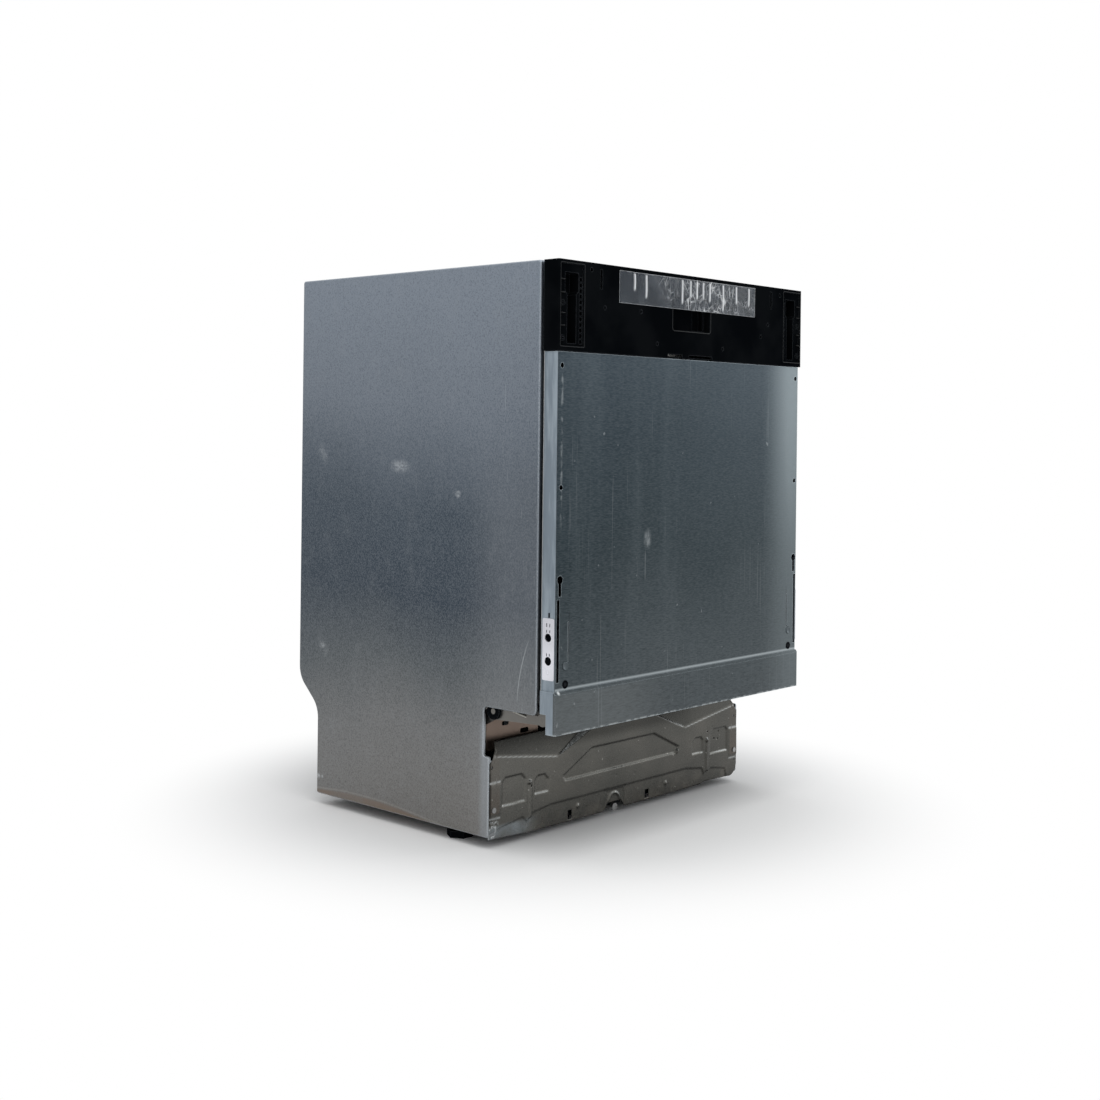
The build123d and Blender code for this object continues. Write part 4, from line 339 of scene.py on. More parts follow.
def plinth_finish():
    """Embossed plinth sheet: dark warm grey, glossier than the sides, dusty low down."""
    f = Finish("galvanised_plinth")
    f.set(**SHEET_METAL)
    grain = f.noise(520, 3.0, (1, 1, 0.8), 0.6)
    broad = f.noise(9, 3.0, (1, 1, 1.4), 0.55)
    f.colour(f.tones(broad, (
        (0.30, (0.066, 0.066, 0.060)),
        (0.50, (0.084, 0.083, 0.075)),
        (0.72, (0.108, 0.104, 0.093)),
    )))
    f.lay(f.rise(grain, 0.36, 0.74, 0.0, 0.14), (0.28, 0.27, 0.25))
    f.lay(f.rise(f.x, -0.12, -0.27, 0.0, 0.16), (0.27, 0.26, 0.24))
    f.lay(f.rise(f.x, -0.10, 0.10, 0.0, 0.22), (0.026, 0.026, 0.024))
    dust = f.times(f.fall(f.z, 0.012, 0.045), f.rise(f.noise(40, 4.0), 0.42, 0.66))
    f.lay(dust, (0.22, 0.20, 0.17), 0.30)
    # A brown tone on the raised end strips, weaker higher up: a painted reflection.
    strip = f.times(f.rise(f.math("ABSOLUTE", f.x), 0.276, 0.279), f.rise(f.z, 0.045, 0.050))
    strip = f.times(strip, f.rise(f.z, 0.060, 0.092, 0.50, 0.20))
    f.lay(strip, (0.110, 0.088, 0.072))
    low = f.times(f.rise(f.x, -0.190, -0.225), f.fall(f.z, 0.026, 0.034))
    low = f.times(low, f.rise(f.noise(34, 3.0), 0.35, 0.65, 0.35, 0.8))
    f.lay(low, (0.30, 0.335, 0.355))
    # Bright flecks on the crumpled lower left corner: painted highlights.
    crumple_glints = f.times(f.rise(f.x, -0.276, -0.284), f.fall(f.z, 0.034, 0.042))
    crumple_glints = f.times(crumple_glints, f.rise(f.noise(110, 2.0, (1, 1, 1.6)), 0.48, 0.64))
    f.lay(crumple_glints, (0.70, 0.73, 0.74), 0.80)
    specks = f.rise(f.noise(150, 2.0), 0.72, 0.75)
    f.lay(specks, (0.40, 0.39, 0.37), 0.5)
    # Darker on the leaning ends above the fold and under the door: painted shade and a painted shadow.
    f.lay(f.mark("facet_shade_and_door_shadow"), (0.020, 0.020, 0.018), 0.72)
    # A light line along the fold of the ends: a painted highlight.
    f.lay(f.mark("fold"), (0.42, 0.44, 0.44), 0.45)
    f.lay(f.mark("shade"), (0.016, 0.014, 0.012), 0.85)
    f.lay(f.mark("shine"), (0.62, 0.65, 0.66), 0.80)
    f.rough(f.rise(grain, 0.30, 0.70, 0.26, 0.36))
    f.relief(f.noise(70, 2.0), 0.05, 0.0015)
    return f.material


def lit(colour, gain, lift=0.0):
    """A colour scaled and lifted, kept within white."""
    return tuple(min(1.0, c * gain + lift) for c in colour)


def sheet_finish(name, colour, rough, scale, stretch, lift, cloudy=0.82):
    """Plain sheet or plated metal with its rolling grain, cloudy tone and edges brightened by a painted
    highlight.
    """
    f = Finish(name)
    f.set(Metallic=0.95)
    grain = f.noise(scale, 3.0, stretch, 0.6)
    cloud = f.noise(12, 3.0)
    f.colour(f.mix(f.rise(cloud, 0.35, 0.65), lit(colour, cloudy), colour))
    f.lay(f.rise(grain, 0.40, 0.72, 0.0, 0.18), lit(colour, 1.3))
    # Edges lightened by lift: a painted highlight.
    f.lay(f.edge(0.0012), lit(colour, 1.5), lift)
    f.rough(f.rise(grain, 0.30, 0.70, rough - 0.06, rough + 0.06))
    f.relief(grain, 0.05, 0.0004)
    return f.material


def plastic_finish(name, colour, rough, gloss, speck, edge_highlight):
    """Moulded plastic: fine texture, slight tone drift, dust and a painted highlight on corners and edges."""
    f = Finish(name)
    f.set(Specular_IOR_Level=gloss)
    texture = f.noise(1400, rough=0.6)
    cloud = f.noise(14, 3.0)
    f.colour(f.mix(f.rise(cloud, 0.38, 0.66), colour, lit(colour, 1.25, 0.002)))
    dust = f.rise(f.noise(210, 3.0), 0.70, 0.78)
    f.lay(dust, lit(colour, 1.0, 0.12), speck)
    # Corners and edges lightened: a painted highlight.
    f.lay(f.edge(0.0013), edge_highlight, 0.8)
    f.rough(f.rise(texture, 0.30, 0.70, rough - 0.05, rough + 0.07))
    f.relief(texture, 0.05, 0.0003)
    return f.material


def rubber_finish(name, colour):
    """Rubber or bitumen: matt, mottled and slightly pitted."""
    f = Finish(name)
    f.set(Specular_IOR_Level=0.25)
    pits = f.noise(380, 4.0, rough=0.7)
    f.colour(f.mix(f.rise(f.noise(30, 3.0), 0.35, 0.68), colour, lit(colour, 1.6)))
    f.rough(f.rise(pits, 0.30, 0.70, 0.72, 0.90))
    f.relief(pits, 0.25, 0.0008)
    return f.material


def rope_finish():
    """Pale braided cord with a woven tick pattern."""
    f = Finish("braided_rope")
    ticks = f.noise(2600, rough=0.4)
    f.colour(f.mix(f.rise(ticks, 0.40, 0.62), (0.30, 0.29, 0.26), (0.62, 0.60, 0.55)))
    f.rough(f.rise(ticks, 0.30, 0.70, 0.75, 0.92))
    f.relief(ticks, 0.4, 0.0004)
    return f.material


def film_finish():
    """Clear crinkled film: grey-blue sheen, creases whitened partly by stress and partly by a painted
    highlight on the ridges, see-through between them.
    """
    f = Finish("crinkled_film")
    f.set(Specular_IOR_Level=0.22)
    white = f.mark("crease")
    sheen = f.rise(f.noise(26, 3.0, (1.6, 1, 1), 0.55), 0.40, 0.66)
    f.colour(f.mix(sheen, (0.018, 0.028, 0.042), (0.050, 0.064, 0.082)))
    # Creases lightened: partly stress whitening, partly a painted highlight on the ridges.
    f.lay(white, (0.86, 0.88, 0.90))
    f.feed(f.shader.inputs["Alpha"], f.math("MULTIPLY_ADD", white, 0.32, 0.68))
    f.rough(f.rise(white, 0.0, 1.0, 0.16, 0.34))
    f.relief(f.noise(220, 3.0, (1.4, 1, 1), 0.6), 0.35, 0.0012)
    return f.material


def glass_finish():
    """Smoked display window with a soft smear."""
    f = Finish("smoked_window")
    f.set(Specular_IOR_Level=0.5)
    smear = f.noise(60, 3.0, (1, 3, 1), 0.5)
    f.colour(f.mix(f.rise(smear, 0.40, 0.65), (0.008, 0.009, 0.011), (0.016, 0.018, 0.022)))
    f.rough(f.rise(smear, 0.30, 0.70, 0.06, 0.16))
    return f.material


FINISHES = {
    "side_sheet": side_finish(),
    "door_sheet": door_finish(),
    "plinth_sheet": plinth_finish(),
    "door_pressing": sheet_finish("door_pressing", (0.085, 0.102, 0.112), 0.38, 420, (0.32, 1, 1.6), 0.9),
    "stainless": sheet_finish("stainless_sheet", (0.50, 0.50, 0.49), 0.30, 900, (1, 1, 0.03), 0.4, 0.93),
    "steel": sheet_finish("plated_steel", (0.33, 0.33, 0.33), 0.38, 620, (1, 1, 0.7), 0.25),
    "hinge_plate": sheet_finish("hinge_plate", (0.165, 0.160, 0.150), 0.42, 620, (1, 1, 0.7), 0.5),
    # The toe walls' brown tone is a painted reflection.
    "toe_wall": sheet_finish("toe_wall", (0.22, 0.168, 0.138), 0.45, 420, (1, 1, 0.6), 0.3),
    "black_plastic": plastic_finish(
        "black_plastic", (0.0022, 0.0028, 0.0036), 0.40, 0.0, 0.03, (0.060, 0.066, 0.074)),
    "black_trim": plastic_finish(
        "black_trim", (0.004, 0.005, 0.006), 0.35, 0.14, 0.03, (0.020, 0.023, 0.026)),
    "grey_plastic": plastic_finish("grey_plastic", (0.20, 0.21, 0.22), 0.45, 0.4, 0.1, (0.30, 0.31, 0.32)),
    "white_plastic": plastic_finish("white_plastic", (0.72, 0.72, 0.765), 0.45, 0.4, 0.0, (0.80, 0.80, 0.84)),
    "light_plastic": plastic_finish("light_plastic", (0.46, 0.47, 0.48), 0.35, 0.4, 0.1, (0.58, 0.59, 0.60)),
    "film": film_finish(),
    "glass": glass_finish(),
    "rubber": rubber_finish("seal_rubber", (0.016, 0.016, 0.017)),
    "mat": rubber_finish("bitumen_mat", (0.030, 0.026, 0.023)),
    "rope": rope_finish(),
    "coated_wire": plastic_finish("coated_wire", (0.42, 0.44, 0.46), 0.38, 0.4, 0.0, (0.60, 0.62, 0.64)),
}

SLOT_OF = {part["node"]: part["material_slot"] for part in frame["record"]["subparts"]}
OWN_FINISH = {"hinge_brackets": "hinge_plate", "hinge_arms": "hinge_plate"}
for node_name, cad in frame["nodes"].items():
    cad.data.materials.clear()
    cad.data.materials.append(FINISHES[OWN_FINISH.get(node_name, SLOT_OF[node_name])])


def new_object(name, data):
    made = bpy.data.objects.new(name, data)
    bpy.context.scene.collection.objects.link(made)
    return made


def add_piece(name, points, faces, body, slot, smooth=True, finish=None):
    """A mesh piece from points in metres, riding on a body; its finish is the slot's unless one is named."""
    mesh = bpy.data.meshes.new(name)
    mesh.from_pydata(points, [], faces)
    mesh.update()
    if smooth:
        mesh.shade_smooth()
    piece = new_object(name, mesh)
    mesh.materials.append(FINISHES[finish or slot])
    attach(piece, body)
    return piece


def drop_loose(mesh):
    """Takes out the points that no face uses."""
    skin = bmesh.new()
    skin.from_mesh(mesh)
    loose = [vertex for vertex in skin.verts if not vertex.link_faces]
    bmesh.ops.delete(skin, geom=loose, context="VERTS")
    skin.to_mesh(mesh)
    skin.free()


def give_gauge(piece, gauge):
    """A sheet's thickness, behind its face."""
    solid = piece.modifiers.new("gauge", "SOLIDIFY")
    solid.thickness = gauge * MM
    solid.offset = -1.0


def ease(value, low, high):
    """Smooth step from nothing at low to one at high."""
    share = min(1.0, max(0.0, (value - low) / (high - low)))
    return share * share * (3.0 - 2.0 * share)


def fade(value, low, high):
    """Smooth step from one at low to nothing at high."""
    return 1.0 - ease(value, low, high)


def along(line, x):
    """Height at x of a line given as (x, z) corners."""
    for (x0, z0), (x1, z1) in zip(line, line[1:]):
        if x0 <= x <= x1:
            return z0 + (z1 - z0) * (x - x0) / (x1 - x0)
    return line[0][1] if x < line[0][0] else line[-1][1]


def inside(corners, x, z):
    """Distance in from the nearest side of a convex shape whose corners run anticlockwise."""
    nearest = 1e9
    for (x0, z0), (x1, z1) in zip(corners, corners[1:] + corners[:1]):
        length = math.hypot(x1 - x0, z1 - z0)
        nearest = min(nearest, ((x1 - x0) * (z - z0) - (z1 - z0) * (x - x0)) / length)
    return nearest


def grid_faces(columns, rows, skip=()):
    """Quads of a grid stored column by column, facing -Y."""
    faces = []
    for i in range(columns - 1):
        for j in range(rows - 1):
            if (i, j) not in skip:
                a = i * rows + j
                faces.append((a, a + rows, a + rows + 1, a + 1))
    return faces


def spaced(low, high, step, fixed=()):
    """Values from low to high about one step apart that include the fixed ones."""
    stops = sorted({low, high, *fixed})
    values = [low]
    for start, end in zip(stops, stops[1:]):
        count = max(1, round((end - start) / step))
        values += [start + (end - start) * k / count for k in range(1, count + 1)]
    return values


PLINTH_HALF = 296.8
PLINTH_LOW, PLINTH_TOP = 9.5, 150.0
PLINTH_TALL = PLINTH_TOP - PLINTH_LOW
PLINTH_GAUGE = 0.9
COLUMN_STEP, ROW_STEP = 1.6, 1.5
# From a grid point to about the middle of its cell, and a margin for rounding
CELL_X, CELL_Z, MARGIN = 0.8, 0.7, 0.01
# Clip slots as (low x, high x), and small holes as (x, z, radius)
SLOT_SPANS = ((-129.0, -120.0), (53.0, 62.5))
SLOT_LOW, SLOT_HIGH = 12.0, 25.4
PLINTH_HOLES = (
    (-292.5, 113.5, 1.9), (-212.5, 76.5, 1.9), (-212.5, 30.5, 1.9), (-293.0, 38.5, 1.9),
    (289.5, 113.5, 1.7), (214.0, 30.5, 1.7), (290.5, 38.0, 1.7),
    (235.5, 81.0, 1.3), (246.5, 80.0, 1.3), (248.0, 91.5, 1.3), (227.0, 102.5, 1.3), (215.0, 95.5, 1.3),
)
# The lower edge, with an arch for the foot adjuster and a rounded right corner
LOWER_EDGE = ((-297, 13.4), (-213, 9.7), (-51, 9.0), (60, 10.0), (193, 10.6), (212, 13.6), (275, 11.7))
ARCH_RISE, ARCH_LEFT, ARCH_RIGHT = 11.0, (-50, -36), (-6, 4)
CORNER_X, CORNER_RADIUS = 276.8, 20.0
# The upper edge drops at each end
EAR_INNER, EAR_OUTER, EAR_DROP, EAR_SLOPE = 283, 296, 12.0, 17.0
# The ends lean back over a rising fold, up to a slanting step beside the middle
CROSS_BEND, BEND_LOW, BEND_RISE = 155.0, 110.0, 0.146
LEAN, STEP_SLANT, STEP_EASE = 0.30, 0.42, (-1.0, 1.2)
# Sunk fields: one in the middle, and two at each end as (low x, high x, low z, high z)
MIDDLE_FIELD = [(-137, 72), (130, 73), (138, 82), (74, 112), (-77, 112), (-142, 79)]
MIDDLE_DEPTH, MIDDLE_EASE = 2.2, (-1.2, 1.5)
END_FIELDS = ((223, 271, 57, 97), (174, 203, 63, 89))
END_DEPTH, END_EASE, OUTER_CUT, INNER_CUT = 2.0, (-1.1, 1.3), 6, 8
# The raised strip at each end
STRIP_LOW, STRIP_TOP, STRIP_LIFT, STRIP_EASE = 46.0, 92.0, 0.7, (274, 276)
# The band under the lower bend
LOWER_BEND = ((-297, 21), (-270, 28), (-228, 34), (-219, 26), (-206, 37), (-167, 42), (156, 43),
              (200, 37), (207, 26), (224, 34), (265, 27), (269, 13), (297, 8))
BAND_DEPTH = 1.5
# Upright ribs, the panel and arc over the arch, and the seam beside it
RIB_X, RIB_LIFT = 213, 2.0
ARCH_PANEL, PANEL_DEPTH = [(-42, 17), (-2, 17), (-2, 40), (-42, 40)], 1.0
ARC_X, ARC_Z, ARC_RADIUS, ARC_LIFT = -22, 21, 13.0, 1.6
SEAM_X, SEAM_DEPTH = 3, 1.6
DOMES = ((-107, 28.5), (105, 28), (133, 75), (-216.5, 83), (211.5, 82))
DOME_LIFT, DOME_EASE = 2.6, (0.5, 4.4)
DENTS, DENT_DEPTH, DENT_EASE = ((-19, 61), (25, 57)), 0.8, (0.4, 2.0)
WAVES = 0.5
# How the slope that shows as shine or shade is taken
SLOPE_STEP, SIDE_LIGHT = 0.6, 0.25


def plinth_lower_edge(x):
    low = along(LOWER_EDGE, x)
    low += ARCH_RISE * ease(x, *ARCH_LEFT) * fade(x, *ARCH_RIGHT)
    corner = max(0.0, x - CORNER_X)
    return low + CORNER_RADIUS - math.sqrt(CORNER_RADIUS ** 2 - corner * corner)


def plinth_upper_edge(x):
    if abs(x) < EAR_INNER:
        return PLINTH_TOP
    return PLINTH_TOP - EAR_DROP - EAR_SLOPE * ease(abs(x), EAR_INNER, EAR_OUTER)


def plinth_above(x, z):
    """Height over the fold of the ends, and how far past the slanting step."""
    over = z - BEND_LOW - BEND_RISE * (abs(x) - CROSS_BEND)
    past = abs(x) - CROSS_BEND + (z - BEND_LOW) / STEP_SLANT
    return over, past


def plinth_depth(x, z):
    """How far back a point of the sheet sits behind its face, less where it stands forward."""
    side = abs(x)
    over, past = plinth_above(x, z)
    back = LEAN * max(0.0, over) * ease(past, *STEP_EASE)
    back += MIDDLE_DEPTH * ease(inside(MIDDLE_FIELD, x, z), *MIDDLE_EASE)
    for low_x, high_x, low_z, high_z in END_FIELDS:
        field = [(low_x, low_z), (high_x, low_z), (high_x, high_z - OUTER_CUT), (high_x - OUTER_CUT, high_z),
                 (low_x + INNER_CUT, high_z), (low_x, high_z - INNER_CUT)]
        back += END_DEPTH * ease(inside(field, side, z), *END_EASE)
    strip = ease(z, STRIP_LOW, STRIP_LOW + 2) * fade(z, STRIP_TOP - 2, STRIP_TOP)
    back -= STRIP_LIFT * ease(side, *STRIP_EASE) * strip
    back += BAND_DEPTH * ease(along(LOWER_BEND, x) - z, -1.0, 1.2)
    back -= RIB_LIFT * fade(abs(side - RIB_X), 1.5, 4.0) * ease(z, 28, 32) * fade(z, 82, 86)
    back += PANEL_DEPTH * ease(inside(ARCH_PANEL, x, z), -0.8, 1.2)
    arc = abs(math.hypot(x - ARC_X, z - ARC_Z) - ARC_RADIUS)
    back -= ARC_LIFT * fade(arc, 0.8, 2.4) * ease(z, 20, 23)
    back += SEAM_DEPTH * fade(abs(x - SEAM_X), 0.4, 2.0) * fade(z, 41, 43)
    for dome_x, dome_z in DOMES:
        back -= DOME_LIFT * fade(math.hypot(x - dome_x, z - dome_z), *DOME_EASE)
    for dent_x, dent_z in DENTS:
        back += DENT_DEPTH * fade(math.hypot(x - dent_x, z - dent_z), *DENT_EASE)
    return back + WAVES * noise.noise((x * 0.012, 0.0, z * 0.02)) * ease(-over, 0, 30)


def plinth_marks(x, z):
    """The painted light and shade of the sheet at one place: shade on the leaning ends and shadow under the
    door, a highlight on the fold, shine on upward slopes and shade on downward ones.
    """
    side = abs(x)
    over, past = plinth_above(x, z)
    # A painted shadow under the door's lower edge, across the middle.
    door_shadow = 0.9 * ease(z, 117, 134) * fade(side, 130, 155)
    upward = plinth_depth(x, z + SLOPE_STEP) - plinth_depth(x, z - SLOPE_STEP)
    leftward = plinth_depth(x - SLOPE_STEP, z) - plinth_depth(x + SLOPE_STEP, z)
    slope = (upward - SIDE_LIGHT * leftward) / (2 * SLOPE_STEP)
    dulled = 1.0 - 0.7 * ease(z, 60, 64) * fade(z, 80, 84) * fade(side, 140, 150)
    bars = max(fade(abs(z - STRIP_TOP - 1.0), 0.6, 1.9), fade(abs(z - STRIP_LOW + 4.0), 0.5, 1.7))
    end_gap = 0.9 * ease(-x, 293.4, 295.2) * ease(z, 30, 36)
    return {
        "facet_shade_and_door_shadow": max(ease(over, 0.0, 5.0) * ease(past, *STEP_EASE), door_shadow),
        # Painted highlight along the fold of the ends.
        "fold": fade(abs(over), 0.2, 1.1) * ease(side, CROSS_BEND - 2, CROSS_BEND + 2),
        "shine": max(ease(slope, 0.45, 1.9) * dulled, 0.55 * bars * ease(side, *STRIP_EASE)),
        "shade": max(ease(-slope, 0.15, 1.3), end_gap),
    }


def plinth_open(x, z, level):
    """Whether the cell that starts at a grid point is cut out, by a slot or a small hole."""
    in_slot = any(span[0] <= x < span[1] - MARGIN for span in SLOT_SPANS)
    if in_slot and SLOT_LOW - MARGIN <= level < SLOT_HIGH - MARGIN:
        return True
    return any(math.hypot(x + CELL_X - hole_x, z + CELL_Z - hole_z) < radius
               for hole_x, hole_z, radius in PLINTH_HOLES)


def build_plinth():
    """Pressed plinth sheet with its sunk fields, ribs, bends, cut-outs and wavy lower edge."""
    xs = spaced(-PLINTH_HALF, PLINTH_HALF, COLUMN_STEP, [edge for span in SLOT_SPANS for edge in span])
    rows = spaced(0.0, PLINTH_TALL, ROW_STEP, (SLOT_LOW - PLINTH_LOW, SLOT_HIGH - PLINTH_LOW))
    points, marks, skip = [], {}, set()
    for i, x in enumerate(xs):
        low = plinth_lower_edge(x)
        high = plinth_upper_edge(x)
        for j, row in enumerate(rows):
            z = low + (high - low) * row / PLINTH_TALL
            points.append((x * MM, (PLINTH_FACE + plinth_depth(x, z)) * MM, z * MM))
            for key, value in plinth_marks(x, z).items():
                marks.setdefault(key, []).append(value)
            if plinth_open(x, z, PLINTH_LOW + row):
                skip.add((i, j))
    faces = grid_faces(len(xs), len(rows), skip)
    piece = add_piece("plinth_sheet_pressed", points, faces, "cabinet", "plinth_sheet")
    for key, values in marks.items():
        piece.data.attributes.new(key, "FLOAT", "POINT").data.foreach_set("value", values)
    drop_loose(piece.data)
    give_gauge(piece, PLINTH_GAUGE)
    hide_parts("plinth_panel")


FILM_LEFT, FILM_RIGHT = -170.0, 163.0
FILM_LOW, FILM_TOP = 773.5, 819.5
FILM_GAUGE, FILM_STEP, FILM_STAND = 0.12, 0.75, 0.35
# Upright folds: place across, share of the height they reach down, how far they stand out
FILM_FOLDS = ((-137, 0.60, 1.6), (-110, 0.80, 1.3), (-25, 0.85, 1.5), (-5, 0.62, 1.6), (11, 0.66, 1.2),
              (27, 0.64, 1.7), (43, 0.70, 1.3), (77, 0.95, 1.3), (112, 0.66, 1.2), (145, 0.70, 1.3))
FOLD_WIDTH, FOLD_LEAN = 2.0, 1.5
# The crumpled stretch, the smaller patch left of it, and the sizes and strengths of their crease cells
CRUMPLE_FROM, CRUMPLE_EASE, PATCH_X, PATCH_WIDTH = (-35, -10), (95, 130), -55, 22
CREASE_CELLS, CREASE_STAND = ((0.075, 0.9), (0.16, 0.55)), 0.5


def film_point(x, z):
    """Stand-off of the film and how white its folds, creases and border show, partly stress whitening and
    partly a painted highlight, at one place.
    """
    down = (FILM_TOP - z) / (FILM_TOP - FILM_LOW)
    stand, white = FILM_STAND, 0.0
    for fold_x, reach, out in FILM_FOLDS:
        lean = FOLD_LEAN * noise.noise((fold_x, down * 1.5, 2.0))
        near = math.exp(-((x - fold_x - lean) / FOLD_WIDTH) ** 2)
        near *= ease(down, 0.02, 0.08) * fade(down, reach - 0.10, reach + 0.02)
        stand += out * near
        white = max(white, near)
    crumpled = ease(x, *CRUMPLE_FROM) * (1.0 - 0.55 * ease(x, *CRUMPLE_EASE))
    patch = 0.9 * math.exp(-((x - PATCH_X) / PATCH_WIDTH) ** 2) * (1.0 - down)
    loose = max(crumpled, patch)
    for size, share in CREASE_CELLS:
        first, second = noise.voronoi((x * size * 1.3, 7.0, z * size * 0.8))[0][:2]
        faint = 0.25 + 0.75 * ease(noise.noise((x * 0.05, 1.0, z * 0.06)), -0.1, 0.35)
        line = fade(second - first, 0.0, 0.11) * loose * share * faint
        stand += CREASE_STAND * line
        white = max(white, 0.80 * line)
    border = min(x - FILM_LEFT, FILM_RIGHT - x, z - FILM_LOW, FILM_TOP - z)
    ragged = 0.9 + 0.7 * noise.noise((x * 0.3, 3.0, z * 0.3))
    return stand, max(white, 0.55 * fade(border, 0.2, max(0.4, ragged)))


def build_film():
    """Protective film with its standing folds and crumpled middle."""
    xs = spaced(FILM_LEFT, FILM_RIGHT, FILM_STEP)
    zs = spaced(FILM_LOW, FILM_TOP, FILM_STEP)
    points, whites = [], []
    for x in xs:
        for z in zs:
            stand, white = film_point(x, z)
            points.append((x * MM, (FRONT - stand) * MM, z * MM))
            whites.append(white)
    piece = add_piece("film_crinkled", points, grid_faces(len(xs), len(zs)), "door", "film")
    piece.data.attributes.new("crease", "FLOAT", "POINT").data.foreach_set("value", whites)
    give_gauge(piece, FILM_GAUGE)
    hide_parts("fascia_film")


def ring(centre, across, over, radius, sides):
    """Points of a circle about a centre."""
    points = []
    for s in range(sides):
        angle = 2 * math.pi * s / sides
        spoke = math.cos(angle) * across + math.sin(angle) * over
        points.append(tuple(Vector(centre) + radius * spoke))
    return points


class Shape:
    """Points and faces of a mesh under way, in millimetres."""

    def __init__(self):
        self.points = []
        self.faces = []

    def strip(self, rings, loop=False):
        """Joins rings of equal count into a closed skin, capped at its ends or joined up in a loop."""
        base = len(self.points)
        count = len(rings[0])
        for points in rings:
            self.points += points
        for r in range(len(rings) if loop else len(rings) - 1):
            here = base + r * count
            there = base + (r + 1) % len(rings) * count
            for k in range(count):
                nxt = (k + 1) % count
                self.faces.append((here + k, here + nxt, there + nxt, there + k))
        if not loop:
            last = base + (len(rings) - 1) * count
            self.faces.append(tuple(base + k for k in reversed(range(count))))
            self.faces.append(tuple(last + k for k in range(count)))

    def tube(self, path, radius, sides=8, loop=False):
        """Round skin along a path."""
        rings = []
        count = len(path)
        for k, point in enumerate(path):
            after = path[(k + 1) % count] if loop else path[min(k + 1, count - 1)]
            before = path[k - 1] if loop else path[max(k - 1, 0)]
            ahead = Vector(after) - Vector(before)
            across = ahead.cross(Vector((0.13, 0.91, 0.34))).normalized()
            over = ahead.cross(across).normalized()
            rings.append(ring(point, across, over, radius, sides))
        self.strip(rings, loop)

    def turned(self, centre, axis, profile, sides=28, loop=False):
        """Skin of a profile of (radius, height) pairs turned about an axis."""
        axis = Vector(axis).normalized()
        across = axis.cross(Vector((0.0, 0.31, 0.95))).normalized()
        over = axis.cross(across)
        centre = Vector(centre)
        rings = [ring(centre + height * axis, across, over, radius, sides) for radius, height in profile]
        self.strip(rings, loop)

    def join(self, other):
        start = len(self.points)
        self.points += other.points
        self.faces += [tuple(start + k for k in face) for face in other.faces]

    def piece(self, name, body, slot, smooth=True, finish=None):
        points = [tuple(MM * c for c in point) for point in self.points]
        return add_piece(name, points, self.faces, body, slot, smooth, finish)


def rounded_rectangle(low, high, radius, steps=6):
    """Corners of a rounded rectangle, anticlockwise."""
    corners = ((high[0] - radius, low[1] + radius, -90), (high[0] - radius, high[1] - radius, 0),
               (low[0] + radius, high[1] - radius, 90), (low[0] + radius, low[1] + radius, 180))
    outline = []
    for u, v, start in corners:
        for k in range(steps + 1):
            angle = math.radians(start + 90.0 * k / steps)
            outline.append((u + radius * math.cos(angle), v + radius * math.sin(angle)))
    return outline


WELD = 0.002


def cut_plate(name, outlines, thick, bevel):
    """Mesh of a plate from flat outlines in millimetres, holes after the rim, with softened edges."""
    curve = bpy.data.curves.new(name, "CURVE")
    curve.dimensions = "2D"
    curve.fill_mode = "BOTH"
    curve.extrude = thick / 2 - bevel
    curve.bevel_depth = bevel
    curve.bevel_resolution = 2
    curve.offset = -bevel
    for outline in outlines:
        spline = curve.splines.new("POLY")
        spline.points.add(len(outline) - 1)
        for point, (u, v) in zip(spline.points, outline):
            point.co = (u, v, 0.0, 1.0)
        spline.use_cyclic_u = True
    holder = new_object(name, curve)
    bpy.context.view_layer.update()
    skin = bmesh.new()
    skin.from_mesh(holder.to_mesh())
    bmesh.ops.remove_doubles(skin, verts=skin.verts, dist=WELD)
    skin.verts.index_update()
    points = [tuple(vertex.co) for vertex in skin.verts]
    faces = [tuple(vertex.index for vertex in face.verts) for face in skin.faces]
    skin.free()
    holder.to_mesh_clear()
    bpy.data.objects.remove(holder)
    bpy.data.curves.remove(curve)
    return points, faces


FLANGE_X = 293.5
PLATE_Y = -260.6
PLATE_LOW, PLATE_HIGH = (-271.0, 251.2), (-250.2, 335.8)
BACKING = 0.6
PLATE_THICK = 1.25
PLATE_HOLE = 6.0
PLATE_HOLES = (277.5, 309.5)
# Small slots over the holes: offset across, middle height, height
PLATE_SLOTS = ((-2.6, 286.0, 4.0), (2.6, 286.0, 4.0), (-2.8, 318.0, 4.0), (2.8, 318.0, 4.0),
               (-2.8, 326.5, 5.0), (2.8, 326.5, 5.0))
SLOT_WIDE, PLATE_CORNER = 1.7, 2.4
SEAT, BACKING_SEAT = 0.05, 0.02
# Turned as (radius, height): a ring round the upper hole, a small eye, and domes beside the lower hole
RING_Z = PLATE_HOLES[1] - 0.6
RING_PROFILE = [(PLATE_HOLE + out, high) for out, high in ((0.3, 0.0), (0.4, 0.45), (1.6, 0.45), (1.8, 0.0))]
EYE_Z, EYE_PROFILE = 262.5, ((2.2, 0.0), (2.3, 0.3), (3.2, 0.3), (3.4, 0.0))
DOME_APART, DOME_PROFILE = 8.2, ((1.8, 0.0), (1.4, 0.4), (0.4, 0.6))
NOTCH_HALF, NOTCH_FROM, NOTCH_TO = 1.3, 0.6, 7.5


def circle(u, v, radius, steps=28):
    return [(u + radius * math.cos(2 * math.pi * k / steps), v + radius * math.sin(2 * math.pi * k / steps))
            for k in range(steps)]


def sided_plate(side, name, outlines, inner, thick, bevel):
    """A flat plate on the door's side, from its inner face outward."""
    points, faces = cut_plate(name, outlines, thick, bevel)
    shape = Shape()
    shape.points = [(side * (inner + thick / 2 + w), u, v) for u, v, w in points]
    shape.faces = faces if side > 0 else [tuple(reversed(face)) for face in faces]
    return shape


